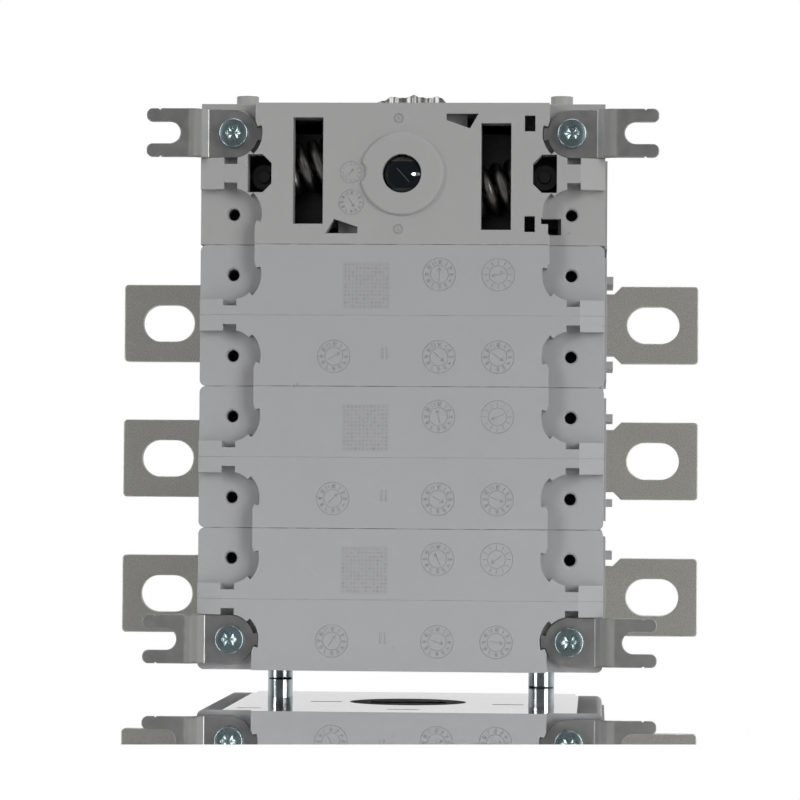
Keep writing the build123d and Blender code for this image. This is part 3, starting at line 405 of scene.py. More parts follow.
def facing_group():
    """Which way the flat face looks: one mask for down, one for left or right."""
    tree, n, _, out = group(
        "Facing", [], [("Down", "NodeSocketFloat"), ("Aside", "NodeSocketFloat")])
    flat = n.add("ShaderNodeNewGeometry")
    parts = n.add("ShaderNodeSeparateXYZ", {0: flat.outputs["True Normal"]})
    n.feed(out["Down"], n.ramp(parts.outputs["Z"], -0.97, -0.995))
    n.feed(out["Aside"], n.ramp(n.math("ABSOLUTE", parts.outputs["X"]), 0.97, 0.995))
    return tree


def near_point_group():
    """A soft disc round a line along Y: one within the near distance, nothing past the far one."""
    tree, n, given, out = group(
        "Near a point",
        [("Position", "NodeSocketVector", None), ("Centre", "NodeSocketVector", None),
         ("Near", "NodeSocketFloat", 0.01), ("Far", "NodeSocketFloat", 0.012)],
        [("Mask", "NodeSocketFloat")])
    flat = n.stretched(given["Position"], (1.0, 0.0, 1.0))
    away = n.add("ShaderNodeVectorMath", {0: flat, 1: given["Centre"]}, operation="DISTANCE")
    n.feed(out["Mask"], n.ramp(away.outputs["Value"], given["Far"], given["Near"]))
    return tree


def brushed_group():
    """Rolling or brushing lines: noise drawn out along one axis, with a broad mottle beside it."""
    tree, n, given, out = group(
        "Rolled lines",
        [("Position", "NodeSocketVector", None), ("Stretch", "NodeSocketVector", None)],
        [("Height", "NodeSocketFloat"), ("Mottle", "NodeSocketFloat")])
    drawn = n.stretched(given["Position"], given["Stretch"])
    n.feed(out["Height"], n.noise(drawn, 1.0, 4.0, 0.65))
    n.feed(out["Mottle"], n.noise(given["Position"], 260.0, 6.0, 0.62))
    return tree


def joint_line_group():
    """A hairline joint at one height: dark where the height is within the line's half width."""
    tree, n, given, out = group(
        "Hairline joint",
        [("Height", "NodeSocketFloat", 0.0), ("At", "NodeSocketFloat", 0.0),
         ("Half width", "NodeSocketFloat", 0.00006), ("Wander", "NodeSocketFloat", 0.0)],
        [("Line", "NodeSocketFloat")])
    gap = n.math("ABSOLUTE", n.math("SUBTRACT", given["Height"], given["At"]))
    n.feed(out["Line"], n.ramp(n.math("SUBTRACT", gap, given["Wander"]), given["Half width"], 0.0))
    return tree


def laser_field_group():
    """A bare laser-hatched square: small cells whose depth wanders smoothly, inside a square."""
    tree, n, given, out = group(
        "Laser hatch",
        [("Position", "NodeSocketVector", None), ("Centre X", "NodeSocketFloat", 0.0),
         ("Centre Z", "NodeSocketFloat", 0.0), ("Half side", "NodeSocketFloat", 0.0059),
         ("Cell", "NodeSocketFloat", 0.00047)],
        [("Hatch", "NodeSocketFloat")])
    parts = n.add("ShaderNodeSeparateXYZ", {0: given["Position"]})
    inside, waves = [], []
    for axis, centre in (("X", "Centre X"), ("Z", "Centre Z")):
        away = n.math("SUBTRACT", parts.outputs[axis], given[centre])
        margin = n.math("SUBTRACT", given["Half side"], n.math("ABSOLUTE", away))
        inside.append(n.ramp(margin, 0.0, 0.0002))
        waves.append(n.math("PINGPONG", n.math("DIVIDE", away, given["Cell"]), 1.0))
    cells = n.ramp(n.times(waves[0], waves[1]), 0.02, 0.5)
    uneven = n.ramp(n.noise(given["Position"], 1050.0, 3.0, 0.75), 0.34, 0.66)
    near_back = n.ramp(parts.outputs["Y"], BACK_WALL + 0.0004, BACK_WALL + 0.0002)
    field = n.times(n.times(inside[0], inside[1]), near_back)
    n.feed(out["Hatch"], n.times(field, n.math("MULTIPLY_ADD", cells, uneven, 0.25)))
    return tree


GROUPS = {
    "grain": moulded_grain_group,
    "handled": handled_group,
    "edge": soft_edge_group,
    "rolled": brushed_group,
    "joint": joint_line_group,
    "laser": laser_field_group,
    "facing": facing_group,
    "near": near_point_group,
}
BUILT = {}


def effect(nodes, key, inputs):
    """Places a shared group in a material, building it the first time."""
    if key not in BUILT:
        BUILT[key] = GROUPS[key]()
    node = nodes.tree.nodes.new("ShaderNodeGroup")
    node.node_tree = BUILT[key]
    for label, value in inputs.items():
        nodes.feed(node.inputs[label], value)
    return node.outputs


def shader(name, **constants):
    """A new material with a Principled shader whose constants sit on its own sockets."""
    made = bpy.data.materials.new(name)
    made.use_nodes = True
    tree = made.node_tree
    principled = next(x for x in tree.nodes if x.type == "BSDF_PRINCIPLED")
    for label, value in constants.items():
        principled.inputs[label].default_value = value
    nodes = Nodes(tree)
    place = nodes.add("ShaderNodeTexCoord").outputs["Object"]
    return made, nodes, principled.inputs, place


def bumped(nodes, height, strength, distance, normal):
    """A bump over an already softened normal."""
    node = nodes.add("ShaderNodeBump", {
        "Strength": strength, "Distance": distance, "Height": height, "Normal": normal})
    return node.outputs[0]


def darker(colour, share):
    """A colour times a share."""
    return tuple(c * share for c in colour)


def brighter(colour, share, lift=0.0):
    """A colour times a share, plus a lift, with no channel over one."""
    return tuple(min(1.0, c * share + lift) for c in colour)


def mottled(nodes, mask, colour, low, high):
    """A colour that wanders between two shares of itself."""
    return nodes.mix(mask, darker(colour, low), darker(colour, high))


def moulded_plastic(name, colour, second=None):
    """Grey moulded plastic: grain, mottle, specks and lighter edges.

    With a second colour, which the mechanism at the top of the stack takes, the round boss gets a
    softer flank, and the stack its hairline joints, its hatched squares and its smooth underside.
    """
    made, n, out, place = shader(name, IOR=1.5)
    parts = n.add("ShaderNodeSeparateXYZ", {0: place})
    grain = effect(n, "grain", {"Position": place, "Grain size": 0.0003})
    marks = effect(n, "handled", {"Position": place, "Specks": 0.55, "Scuffs": 0.5})
    facing = effect(n, "facing", {})
    radius = 0.00028
    if second is not None:
        boss, bore = (effect(n, "near", {"Position": place, "Centre": SHAFT_AXIS, "Near": near,
                                         "Far": far})["Mask"]
                      for near, far in (BOSS_OUTSIDE, BOSS_INSIDE))
        rear = n.ramp(parts.outputs["Y"], BACK_WALL + 0.0008, BACK_WALL + 0.0003)
        flank = n.times(n.math("SUBTRACT", boss, bore), rear)
        radius = n.math("MULTIPLY_ADD", flank, 0.00095, radius)
    edge = effect(n, "edge", {"Radius": radius})
    base = mottled(n, grain["Mottle"], colour, 0.965, 1.03)
    if second is not None:
        seam = MODULE_SEAMS[0] * MM
        upper = n.ramp(parts.outputs["Z"], seam - 0.00005, seam + 0.00005)
        base = n.mix(upper, base, mottled(n, grain["Mottle"], second, 0.965, 1.03))
    base = n.mix(n.times(edge["Edge"], 0.16), base, (0.72, 0.72, 0.72))
    base = n.mix(marks["Specks"], base, (0.06, 0.06, 0.055))
    base = n.mix(n.times(marks["Scuffs"], 0.25), base, (0.55, 0.55, 0.54))
    height = grain["Height"]
    smooth = n.times(facing["Aside"], 0.5)
    if second is not None:
        lines, hatch = stack_marks(n, place, parts.outputs["Z"])
        base = n.mix(lines, base, (0.035, 0.035, 0.035))
        base = n.mix(n.times(hatch, 0.34), base, (0.10, 0.10, 0.09))
        height = n.math("SUBTRACT", height, n.times(lines, 0.8))
        middle = n.ramp(n.math("ABSOLUTE", parts.outputs["X"]), *UNDERSIDE_END)
        smooth = n.highest([n.times(facing["Down"], middle), smooth])
    n.feed(out["Base Color"], base)
    rough = n.math("MULTIPLY_ADD", grain["Height"], 0.16, 0.50)
    rough = n.math("SUBTRACT", rough, n.times(marks["Scuffs"], 0.12))
    n.feed(out["Roughness"], n.times(rough, n.math("MULTIPLY_ADD", smooth, -0.86, 1.0)))
    relief = n.math("MULTIPLY_ADD", smooth, -0.30, 0.32)
    n.feed(out["Normal"], bumped(n, height, relief, 0.00012, edge["Normal"]))
    return made


def stack_marks(n, place, up):
    """One mask of the hairline joints and one of the hatched squares.

    The joints are faint within a pole and strong between modules, and both are worn along X.
    """
    wander = n.times(n.noise(n.stretched(place, (90.0, 90.0, 1.0)), 1.0, 2.0), 0.00004)
    worn = n.noise(n.stretched(place, (160.0, 160.0, 0.0)), 1.0, 3.0)
    faint = n.math("MULTIPLY_ADD", n.ramp(worn, 0.40, 0.62), 0.16, 0.06)
    strong = n.math("MULTIPLY_ADD", n.ramp(worn, 0.38, 0.58), 0.62, 0.28)
    lines = []
    for levels, strength in ((POLE_HEIGHTS, faint), (MODULE_SEAMS, strong)):
        for level in levels:
            line = effect(n, "joint", {"Height": up, "At": level * MM, "Half width": 0.00011,
                                       "Wander": wander})["Line"]
            lines.append(n.times(line, strength))
    hatches = [effect(n, "laser", {"Position": place, "Centre X": HATCH_PLACE[0] * MM,
                                   "Centre Z": (level + HATCH_PLACE[1]) * MM})["Hatch"]
               for level in POLE_HEIGHTS]
    return n.highest(lines), n.highest(hatches)


def rolled_metal(n, place, stretch, scuffs, radius):
    """What every rolled metal shares: its rolling lines, its marks and its soft edge."""
    return (effect(n, "rolled", {"Position": place, "Stretch": stretch}),
            effect(n, "handled", {"Position": place, "Specks": 0.4, "Scuffs": scuffs}),
            effect(n, "edge", {"Radius": radius}))


def metal(name, colour, tone, rough, stretch, edge_radius=0.0002):
    """Metal with rolling lines, a mottled tone, scuffs and brighter edges."""
    made, n, out, place = shader(name, Metallic=1.0)
    lines, marks, edge = rolled_metal(n, place, stretch, 0.9, edge_radius)
    base = mottled(n, n.ramp(lines["Mottle"], 0.3, 0.7), colour, 1 - tone, 1 + tone)
    base = n.mix(n.times(lines["Height"], 0.3), base, darker(colour, 1 - 1.6 * tone))
    bright = brighter(colour, 1.5, 0.05)
    base = n.mix(n.times(edge["Edge"], 0.5), base, bright)
    base = n.mix(n.times(marks["Scuffs"], 0.35), base, bright)
    n.feed(out["Base Color"], base)
    spread = n.math("MULTIPLY_ADD", lines["Mottle"], 0.14, rough - 0.07)
    n.feed(out["Roughness"], n.math("ADD", spread, n.times(marks["Specks"], 0.2)))
    n.feed(out["Normal"], bumped(n, lines["Height"], 0.25, 0.00003, edge["Normal"]))
    return made


def dark_shaft(name, colour):
    """Blackened steel: paler bands on the end's face as a painted reflection, a scratch, and a dent
    whose relief catches light and whose pale colour is a painted highlight.

    Heights and widths are counted from the shaft's axis. The scratch is a line at a slant, cut to a
    length. The dented spot is an ellipse on the end face, in which the relief rises evenly to the
    right and whose pale colour is a painted highlight.
    """
    made, n, out, place = shader(name, Metallic=1.0)
    parts = n.add("ShaderNodeSeparateXYZ", {0: place})
    across = parts.outputs["X"]
    up = n.math("SUBTRACT", parts.outputs["Z"], SHAFT_AXIS[2])
    rear = n.ramp(parts.outputs["Y"], BACK_WALL + 0.0030, BACK_WALL + 0.0024)
    lines, marks, edge = rolled_metal(n, place, (500.0, 2400.0, 500.0), 0.6, 0.0002)
    base = mottled(n, lines["Mottle"], colour, 0.8, 1.2)
    # Painted reflection: paler bands across the top and the bottom of the end face stand for the room
    # mirrored in it.
    reflection_band = n.highest([n.ramp(up, 0.0030, 0.0034), n.times(n.ramp(up, -0.0033, -0.0037), 0.55)])
    base = n.mix(n.times(reflection_band, rear), base, (0.26, 0.255, 0.235))
    slope = n.math("MULTIPLY_ADD", across, 0.745, n.times(up, 0.667))
    scratch = n.ramp(n.math("ABSOLUTE", slope), 0.00010, 0.00003)
    stretch = n.ramp(n.math("ABSOLUTE", n.math("ADD", up, 0.0002)), 0.0018, 0.0016)
    base = n.mix(n.times(n.times(scratch, stretch), rear), base, (0.55, 0.56, 0.56))
    # Painted highlight: the dent's pale colour stands for the light it catches; its relief below,
    # tilted to catch light, is real.
    narrow = n.times(n.math("SUBTRACT", across, 0.0035), 0.36)
    flat = n.add("ShaderNodeCombineXYZ", {0: narrow, 2: up})
    near = n.add("ShaderNodeVectorMath", {0: flat.outputs[0]}, operation="LENGTH")
    dent_and_highlight = n.times(n.ramp(near.outputs["Value"], 0.00055, 0.00040), rear)
    base = n.mix(dent_and_highlight, base, (0.75, 0.77, 0.77))
    # Painted highlight: the rim's edges are painted brighter; the scuffs that share this colour are
    # wear.
    bright = brighter(colour, 2.5, 0.1)
    base = n.mix(n.times(edge["Edge"], 0.6), base, bright)
    base = n.mix(n.times(marks["Scuffs"], 0.3), base, bright)
    n.feed(out["Base Color"], base)
    n.feed(out["Roughness"], n.math("MULTIPLY_ADD", lines["Mottle"], 0.12, 0.08))
    tilt = n.times(n.math("MULTIPLY_ADD", up, -0.16, n.times(across, 0.46)), dent_and_highlight)
    lean = bumped(n, tilt, 1.0, 1.0, edge["Normal"])
    n.feed(out["Normal"], bumped(n, lines["Height"], 0.2, 0.00002, lean))
    return made


def tin_plate(name, colour):
    """Dull tin plate: fine grains in tone, gloss and relief, and edges painted bright as a highlight.
    """
    made, n, out, place = shader(name, Metallic=1.0)
    grains = n.ramp(n.noise(place, 3600.0, 3.0, 0.75), 0.36, 0.64)
    broad = n.noise(place, 120.0, 4.0, 0.6)
    marks = effect(n, "handled", {"Position": place, "Specks": 0.5, "Scuffs": 0.7})
    edge = effect(n, "edge", {"Radius": 0.00045})
    base = mottled(n, grains, colour, 0.70, 1.30)
    base = n.mix(n.times(broad, 0.35), base, darker(colour, 0.86))
    # Painted highlight: the rounded edges are painted brighter; the scuffs mixed in after them are
    # wear.
    bright = brighter(colour, 1.9)
    base = n.mix(n.times(edge["Edge"], 0.7), base, bright)
    base = n.mix(n.times(marks["Scuffs"], 0.4), base, bright)
    base = n.mix(n.times(marks["Specks"], 0.6), base, darker(colour, 0.4))
    n.feed(out["Base Color"], base)
    n.feed(out["Roughness"], n.math("MULTIPLY_ADD", grains, -0.16, 0.50))
    n.feed(out["Normal"], bumped(n, grains, 0.30, 0.00004, edge["Normal"]))
    return made


def folded_steel(name, colour):
    """Rolled steel sheet with folds drawn round and painted darker as shade, and a thin painted
    highlight along each inner fold.
    """
    made, n, out, place = shader(name, Metallic=1.0)
    parts = n.add("ShaderNodeSeparateXYZ", {0: place})
    reach = n.math("ABSOLUTE", parts.outputs["X"])
    fold, bend = (n.times(n.ramp(reach, *rise), n.ramp(reach, *fall))
                  for rise, fall in (FOLD_SHADE, FOLD_ROUND))
    lines, marks, edge = rolled_metal(n, place, (180.0, 2200.0, 2200.0), 0.9,
                                      n.math("MULTIPLY_ADD", bend, 0.0008, 0.0004))
    base = mottled(n, n.ramp(lines["Mottle"], 0.3, 0.7), colour, 0.93, 1.07)
    # The rolling lines darken in the sheet's own tone; the fold band is painted darker as shade.
    for mask in (n.times(lines["Height"], 0.3), n.times(fold, 0.9)):
        base = n.mix(mask, base, darker(colour, 0.88))
    bright = brighter(colour, 1.5, 0.05)
    rim = n.times(edge["Edge"], n.math("MULTIPLY_ADD", bend, -0.45, 0.5))
    base = n.mix(rim, base, bright)
    # Painted highlight: a thin bright line along each inner fold, stronger on the left foot than on
    # the right.
    fold_highlight = n.ramp(n.math("ABSOLUTE", n.math("SUBTRACT", reach, FOLD_HIGHLIGHT_LINE)), 0.00014, 0.00004)
    left = n.ramp(parts.outputs["X"], 0.01, -0.01)
    fold_highlight = n.times(fold_highlight, n.math("MULTIPLY_ADD", left, 0.45, 0.15))
    base = n.mix(fold_highlight, base, (0.80, 0.80, 0.79))
    base = n.mix(n.times(marks["Scuffs"], 0.35), base, bright)
    n.feed(out["Base Color"], base)
    spread = n.math("MULTIPLY_ADD", lines["Mottle"], 0.14, n.math("MULTIPLY_ADD", bend, 0.25, 0.37))
    n.feed(out["Roughness"], n.math("ADD", spread, n.times(marks["Specks"], 0.2)))
    n.feed(out["Normal"], bumped(n, lines["Height"], 0.25, 0.00003, edge["Normal"]))
    return made


# Plain metals: colour, how far the tone wanders, roughness, and rolling lines along each axis
METALS = {
    "rod_chrome": ((0.42, 0.46, 0.475), 0.14, 0.19, (1800.0, 1800.0, 90.0)),
    "bare_steel": ((0.23, 0.23, 0.225), 0.3, 0.42, (1500.0, 1500.0, 300.0)),
    "spring_steel": ((0.34, 0.33, 0.315), 0.2, 0.30, (1200.0, 1200.0, 1200.0)),
    "black_steel": ((0.085, 0.084, 0.082), 0.15, 0.36, (900.0, 900.0, 900.0)),
    "copper": ((0.72, 0.40, 0.25), 0.08, 0.3, (300.0, 1800.0, 1800.0)),
}


def make_material(name):
    """Builds one finish by its name."""
    sizes = looks()
    poles, case = tuple(sizes.pole_colour), tuple(sizes.case_colour)
    if name in METALS:
        return metal(name, *METALS[name])
    if name == "housing_grey":
        return moulded_plastic(name, poles, case)
    if name == "cover_grey":
        return moulded_plastic(name, darker(case, 0.97))
    # Painted shade: the mould marks are a little darker than the poles, standing for the shade on
    # their fine relief.
    if name == "mark_shade_grey":
        return moulded_plastic(name, darker(poles, 0.93))
    if name == "rotor_black":
        return moulded_plastic(name, (0.03, 0.03, 0.032))
    if name == "tinned_copper":
        return tin_plate(name, tuple(sizes.tin_colour))
    if name == "foot_steel":
        return folded_steel(name, tuple(sizes.foot_colour))
    if name == "zinc_steel":
        return metal(name, tuple(sizes.zinc_colour), 0.12, 0.27, (1900.0, 1900.0, 1900.0), 0.00012)
    if name == "shaft_steel":
        return dark_shaft(name, (0.048, 0.062, 0.070))
    raise ValueError(f"there is no finish named {name}")


def material(name):
    """The finish of that name, built on first use."""
    found = bpy.data.materials.get("finish_" + name)
    if found is None:
        found = make_material(name)
        found.name = "finish_" + name
    return found


def dress(*finishes):
    """Puts each finish on the CAD nodes that take it."""
    for finish in finishes:
        for name in FINISHES[finish]:
            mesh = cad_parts[name].data
            mesh.materials.clear()
            mesh.materials.append(material(finish))


# Operators


class DISCONNECTOR_OT_housings(bpy.types.Operator):
    """Finish the grey mouldings: poles, mechanism case and front cover"""

    bl_idname = "disconnector.housings"
    bl_label = "Housings"

    def execute(self, context):
        dress("housing_grey", "cover_grey")
        return {"FINISHED"}


class DISCONNECTOR_OT_metalwork(bpy.types.Operator):
    """Finish the terminals, feet and other plain metal parts"""

    bl_idname = "disconnector.metalwork"
    bl_label = "Metalwork"

    def execute(self, context):
        dress("tinned_copper", "foot_steel", "zinc_steel", "black_steel", "bare_steel")
        return {"FINISHED"}


class DISCONNECTOR_OT_contacts(bpy.types.Operator):
    """Finish the rotor, its blades and their leaf springs"""

    bl_idname = "disconnector.contacts"
    bl_label = "Contacts"

    def execute(self, context):
        dress("spring_steel", "copper", "rotor_black")
        return {"FINISHED"}


def coil(start, end, coil_radius, wire_radius, turns, first_angle):
    """A compression spring. The wire's centre goes round the line from start to end at coil_radius.

    It moves evenly along the line from the first angle, which counts from the back. The wire's
    section is a circle across the helix, drawn with the helix's own two normals: one points away
    from the line, the other is its cross product with the tangent. Each end is rounded off.
    """
    start, end = np.asarray(start, float), np.asarray(end, float)
    length = np.linalg.norm(end - start)
    axis = (end - start) / length
    towards_back = np.array([0.0, -1.0, 0.0])
    side = np.cross(axis, towards_back)
    t = np.linspace(0, 1, int(turns * 72) + 1)
    angle = first_angle + 2 * np.pi * turns * t
    radial = np.cos(angle)[:, None] * towards_back + np.sin(angle)[:, None] * side
    path = start + length * t[:, None] * axis + coil_radius * radial
    tangent = np.gradient(path, axis=0)
    tangent /= np.linalg.norm(tangent, axis=1, keepdims=True)
    second = np.cross(tangent, radial)
    second /= np.linalg.norm(second, axis=1, keepdims=True)
    first = np.cross(second, tangent)
    turn = np.linspace(0, 2 * np.pi, 28, endpoint=False)
    turn = turn[None, :, None]
    ring = np.cos(turn) * first[:, None] + np.sin(turn) * second[:, None]
    shrink = np.ones(len(t) + 4) * wire_radius
    shrink[[0, -1]] = 0
    shrink[[1, -2]] = wire_radius * 0.86
    rows = np.r_[0, 0, np.arange(len(t)), len(t) - 1, len(t) - 1]
    nudge = np.zeros(len(rows))
    nudge[[0, 1]] = -wire_radius * 0.14
    nudge[[-1, -2]] = wire_radius * 0.14
    centre = path[rows] + nudge[:, None] * tangent[rows]
    points = centre[:, None] + shrink[:, None, None] * ring[rows]
    return closed_grid(points)


class DISCONNECTOR_OT_toggle_springs(bpy.types.Operator):
    """Wind the two dark compression springs seen through the tall windows"""

    bl_idname = "disconnector.toggle_springs"
    bl_label = "Toggle springs"

    def execute(self, context):
        sizes = looks()
        along = np.array([math.cos(GUIDE_TILT), 0.0, math.sin(GUIDE_TILT)])
        for name, sign in (("left", 1.0), ("right", -1.0)):
            pivot = np.array([-GUIDE_PIVOT[0] * sign, GUIDE_PIVOT[1], MECHANISM_HEIGHT]) * MM
            way = along * np.array([sign, 1.0, sign])
            near = SPRING_SEATS[0] + sizes.wire_radius
            far = SPRING_SEATS[1] - sizes.wire_radius
            surface = coil(pivot + way * near, pivot + way * far, sizes.coil_radius,
                           sizes.wire_radius, sizes.spring_turns, math.radians(-125))
            new_piece(f"wound_spring_{name}", surface, "spring_steel", f"guide_{name}",
                      [f"toggle_spring_{name}"], 60.0)
        return {"FINISHED"}


def lobed(angle, radius):
    """A six-lobed outline: the radius falls by up to a quarter, six times round."""
    wave = 0.5 + 0.5 * np.cos(6 * angle)
    return radius * (0.76 + 0.24 * wave ** 0.8)


def pan_head_screw(centre, sizes):
    """A screw that looks along -Y: its rows go from the recess's floor over the head to the tip.

    In the recess each row's radius follows the six-lobed outline, over a floor that is a flat cone.
    The crown is nearly flat, its depth growing as the square of the reach, and turns over a rim that
    is part of a small circle into a side that leans out a little. On the shank the radius rises and
    falls with the phase of a helix, angle over a full turn plus depth over the pitch, cut to a blunt
    ridge, and both ends of the thread fade to the core. A row of the head is its depth, its radius
    and a one where it follows the lobes.
    """
    segments = sizes.round_segments
    angle = np.linspace(0, 2 * np.pi, segments, endpoint=False)
    seat = 0.0019
    head = [(seat - 0.00118, 0.0, 1), (seat - 0.00119, 0.0001, 1), (seat - 0.00140, 0.0015, 1),
            (seat - 0.00146, 0.00162, 1), (seat - 0.00215, 0.0018, 1), (seat - 0.00228, 0.0019, 1)]
    reach = np.linspace(0.0021, 0.00325, 6)
    crown = [(seat - 0.0023 + 0.00014 * ((r - 0.0021) / 0.00115) ** 2, r, 0) for r in reach]
    bend = np.linspace(0.3, np.pi / 2, 8)
    rim = [(seat - 0.0019 - 0.00026 * math.cos(b), 0.00325 + 0.00028 * math.sin(b), 0)
           for b in bend]
    under = [(seat - 0.00090, 0.0036, 0), (seat - 0.00016, 0.0036, 0), (seat - 0.00004, 0.00352, 0),
             (seat, 0.0033, 0), (seat, 0.0014, 0)]
    rows = np.array(head + crown + rim + under)
    lobes = lobed(angle, 1.0)[None]
    radius = np.where(rows[:, 2:3] > 0, rows[:, 1:2] * lobes, rows[:, 1:2])
    depth = np.repeat(rows[:, :1], segments, axis=1)
    shank = np.linspace(seat + 0.0002, seat + 0.0098, 90)[:, None]
    phase = (angle[None] / (2 * np.pi) + shank / sizes.thread_pitch) % 1.0
    ridge = np.clip(1.6 - 4.2 * np.abs(phase - 0.5), 0, 1)
    run_in = np.clip((shank - seat - 0.0004) / 0.0006, 0, 1)
    run_out = np.clip((seat + 0.0095 - shank) / 0.0016, 0, 1)
    core = 0.00108 - 0.0004 * np.clip((shank - seat - 0.0080) / 0.0018, 0, 1)
    thread = core + 0.0003 * ridge * run_in * run_out
    tip_depth = np.full((1, segments), seat + 0.0100)
    all_depth = np.concatenate([depth, np.repeat(shank, segments, axis=1), tip_depth])
    all_radius = np.concatenate([radius, thread, np.zeros((1, segments))])
    points = np.stack([centre[0] + all_radius * np.cos(angle), all_depth,
                       centre[1] + all_radius * np.sin(angle)], axis=-1)
    return closed_grid(points)


class DISCONNECTOR_OT_foot_screws(bpy.types.Operator):
    """Turn the four pan-head screws with their six-lobed recesses and threads"""

    bl_idname = "disconnector.foot_screws"
    bl_label = "Foot screws"

    def execute(self, context):
        sizes = looks()
        places = [(x * FOOT_SCREW[0] * MM, z * FOOT_SCREW[1] * MM) for x in (-1, 1) for z in (-1, 1)]
        surface = joined([pan_head_screw(place, sizes) for place in places])
        new_piece("pan_head_screws", surface, "zinc_steel", "housing", ["foot_screws"], 40.0)
        return {"FINISHED"}


class DISCONNECTOR_OT_tie_rods(bpy.types.Operator):
    """Turn the two bright tie rods that the switch stands on"""

    bl_idname = "disconnector.tie_rods"
    bl_label = "Tie rods"

    def execute(self, context):
        segments = looks().round_segments
        profile = rounded([(-0.0750, 0.0), (-0.0750, 0.0031), (-0.0748, 0.0033), (0.067, 0.0033),
                           (0.067, 0.0050), (0.0698, 0.0050), (0.0698, 0.0024), (0.0683, 0.0024),
                           (0.0683, 0.0)], 0.00025)
        rods = [turned(profile, (x * MM, y * MM, 0.0), (0, 0, 1), (1, 0, 0), segments)
                for x, y in TIE_RODS]
        new_piece("bright_tie_rods", joined(rods), "rod_chrome", "housing", ["tie_rods"], 30.0)
        return {"FINISHED"}


class DISCONNECTOR_OT_drive_shaft(bpy.types.Operator):
    """Turn the drive shaft, whose back end shows in the boss and whose front has a square socket"""

    bl_idname = "disconnector.drive_shaft"
    bl_label = "Drive shaft"

    def execute(self, context):
        angle = np.linspace(0, 2 * np.pi, looks().round_segments, endpoint=False)
        outside = rounded([(0.0012, 0.0), (0.0012, 0.0028), (0.00126, 0.0034), (0.00142, 0.0039),
                           (0.00172, 0.0043), (0.0022, 0.0045), (0.0210, 0.0045),
                           (0.0210, 0.0060), (0.0760, 0.0060), (0.0760, 0.0090), (0.0946, 0.0090),
                           (0.0950, 0.0086), (0.0950, 0.0062)], 0.0002)
        # The socket's outline is a square's in polar form, half its side over the larger of the
        # cosine's and the sine's size. Its rows go from the mouth to the middle of its floor.
        square = 1.0 / np.maximum(np.abs(np.cos(angle)), np.abs(np.sin(angle)))
        socket = np.array([(0.0950, 0.0044), (0.0947, 0.0041), (0.0790, 0.0041), (0.0790, 0.0)])
        radius = np.concatenate([outside[:, 1:] + 0 * angle, socket[:, 1:] * square])
        depth = np.concatenate([outside[:, :1], socket[:, :1]]) + 0 * angle
        points = np.stack([radius * np.cos(angle), depth,
                           SHAFT_AXIS[2] + radius * np.sin(angle)], axis=-1)
        new_piece("turned_drive_shaft", closed_grid(points), "shaft_steel", "shaft",
                  ["drive_shaft"], 30.0)
        return {"FINISHED"}


def ridges(strokes, half_width, height, sink=0.00003):
    """Raised strokes on the back face, one closed ridge each, given as pairs of ends in X and Z.

    Along a stroke the section keeps its full size and shrinks to nothing over one half width past
    each end. Across it the section is half an ellipse, height tall, its flat sole sunk in the face.
    """
    starts = strokes[:, 0]
    way = strokes[:, 1] - starts
    length = np.linalg.norm(way, axis=1, keepdims=True)
    way = way / length
    across = np.stack([-way[:, 1], way[:, 0]], 1)
    zero = np.zeros_like(length)
    along = np.concatenate([zero - half_width, zero - 0.7 * half_width, zero, length,
                            length + 0.7 * half_width, length + half_width], 1)
    size = np.array([0.0, 0.72, 1.0, 1.0, 0.72, 0.0])
    turn = np.linspace(0, np.pi, 6)
    side = np.r_[half_width * np.cos(turn), -half_width, half_width]
    rise = np.r_[-height * np.sin(turn), sink, sink]
    flat = (starts[:, None, None] + along[:, :, None, None] * way[:, None, None]
            + (size[None, :, None] * side[None, None])[..., None] * across[:, None, None])
    depth = np.broadcast_to(size[None, :, None] * rise[None, None], flat.shape[:3])
    points = np.stack([flat[..., 0], depth, flat[..., 1]], axis=-1)
    return weld(*many_closed(points))


def ring_ridge(centre, radius, half_width, height, sink=0.00003, steps=72):
    """A raised ring: half an ellipse carried round a circle, with its sole sunk in the face."""
    angle = np.linspace(0, 2 * np.pi, steps, endpoint=False)[:, None]
    turn = np.linspace(0, np.pi, 7)
    side = np.r_[half_width * np.cos(turn), -half_width, half_width][None]
    rise = np.r_[-height * np.sin(turn), sink, sink][None]
    reach = radius + side
    points = np.stack([centre[0] + reach * np.cos(angle), rise + 0 * angle,
                       centre[1] + reach * np.sin(angle)], axis=-1)
    verts, faces = points.reshape(-1, 3), grid_faces(steps, side.shape[1], True, True)
    return verts, outwards(verts, faces)


# Which bars make each digit, and each bar's two ends on a digit 0.6 wide and 1 tall
STROKES = {
    "0": "abcdef", "1": "bc", "2": "abged", "3": "abgcd", "4": "fgbc",
    "5": "afgcd", "6": "afgedc", "7": "abc", "8": "abcdefg", "9": "abcdfg",
}
BARS = {
    "a": ((0.0, 1.0), (0.6, 1.0)), "b": ((0.6, 1.0), (0.6, 0.5)), "c": ((0.6, 0.5), (0.6, 0.0)),
    "d": ((0.0, 0.0), (0.6, 0.0)), "e": ((0.0, 0.0), (0.0, 0.5)), "f": ((0.0, 0.5), (0.0, 1.0)),
    "g": ((0.0, 0.5), (0.6, 0.5)),
}

# Dials of a pole: X, above or below its middle, the arrow's direction and whether it has numbers
POLE_DIALS = (
    (-16.5, -1, 18.0, True),
    (9.4, 1, 76.0, True),
    (9.4, -1, -55.0, True),
    (23.9, 1, 178.0, False),
    (23.9, -1, -48.0, True),
)
POLE_DIAL_RADIUS = 0.0040

# Dials of the mechanism: X and Z from the shaft's axis, radius, the arrow's direction and numbers
CASE_DIALS = (
    (-12.64, 0.3, 2.65, 50.0, False),
    (-12.45, -7.1, 3.05, -60.0, True),
    (-0.85, 13.7, 1.15, 120.0, False),
    (-0.85, -13.7, 1.15, -60.0, False),
)

# The two strokes between a pole's dials: where they stand in X, and their two ends from its middle
TWIN_STROKES = (-4.45, -3.35)
TWIN_ENDS = (-8.1, -10.6)


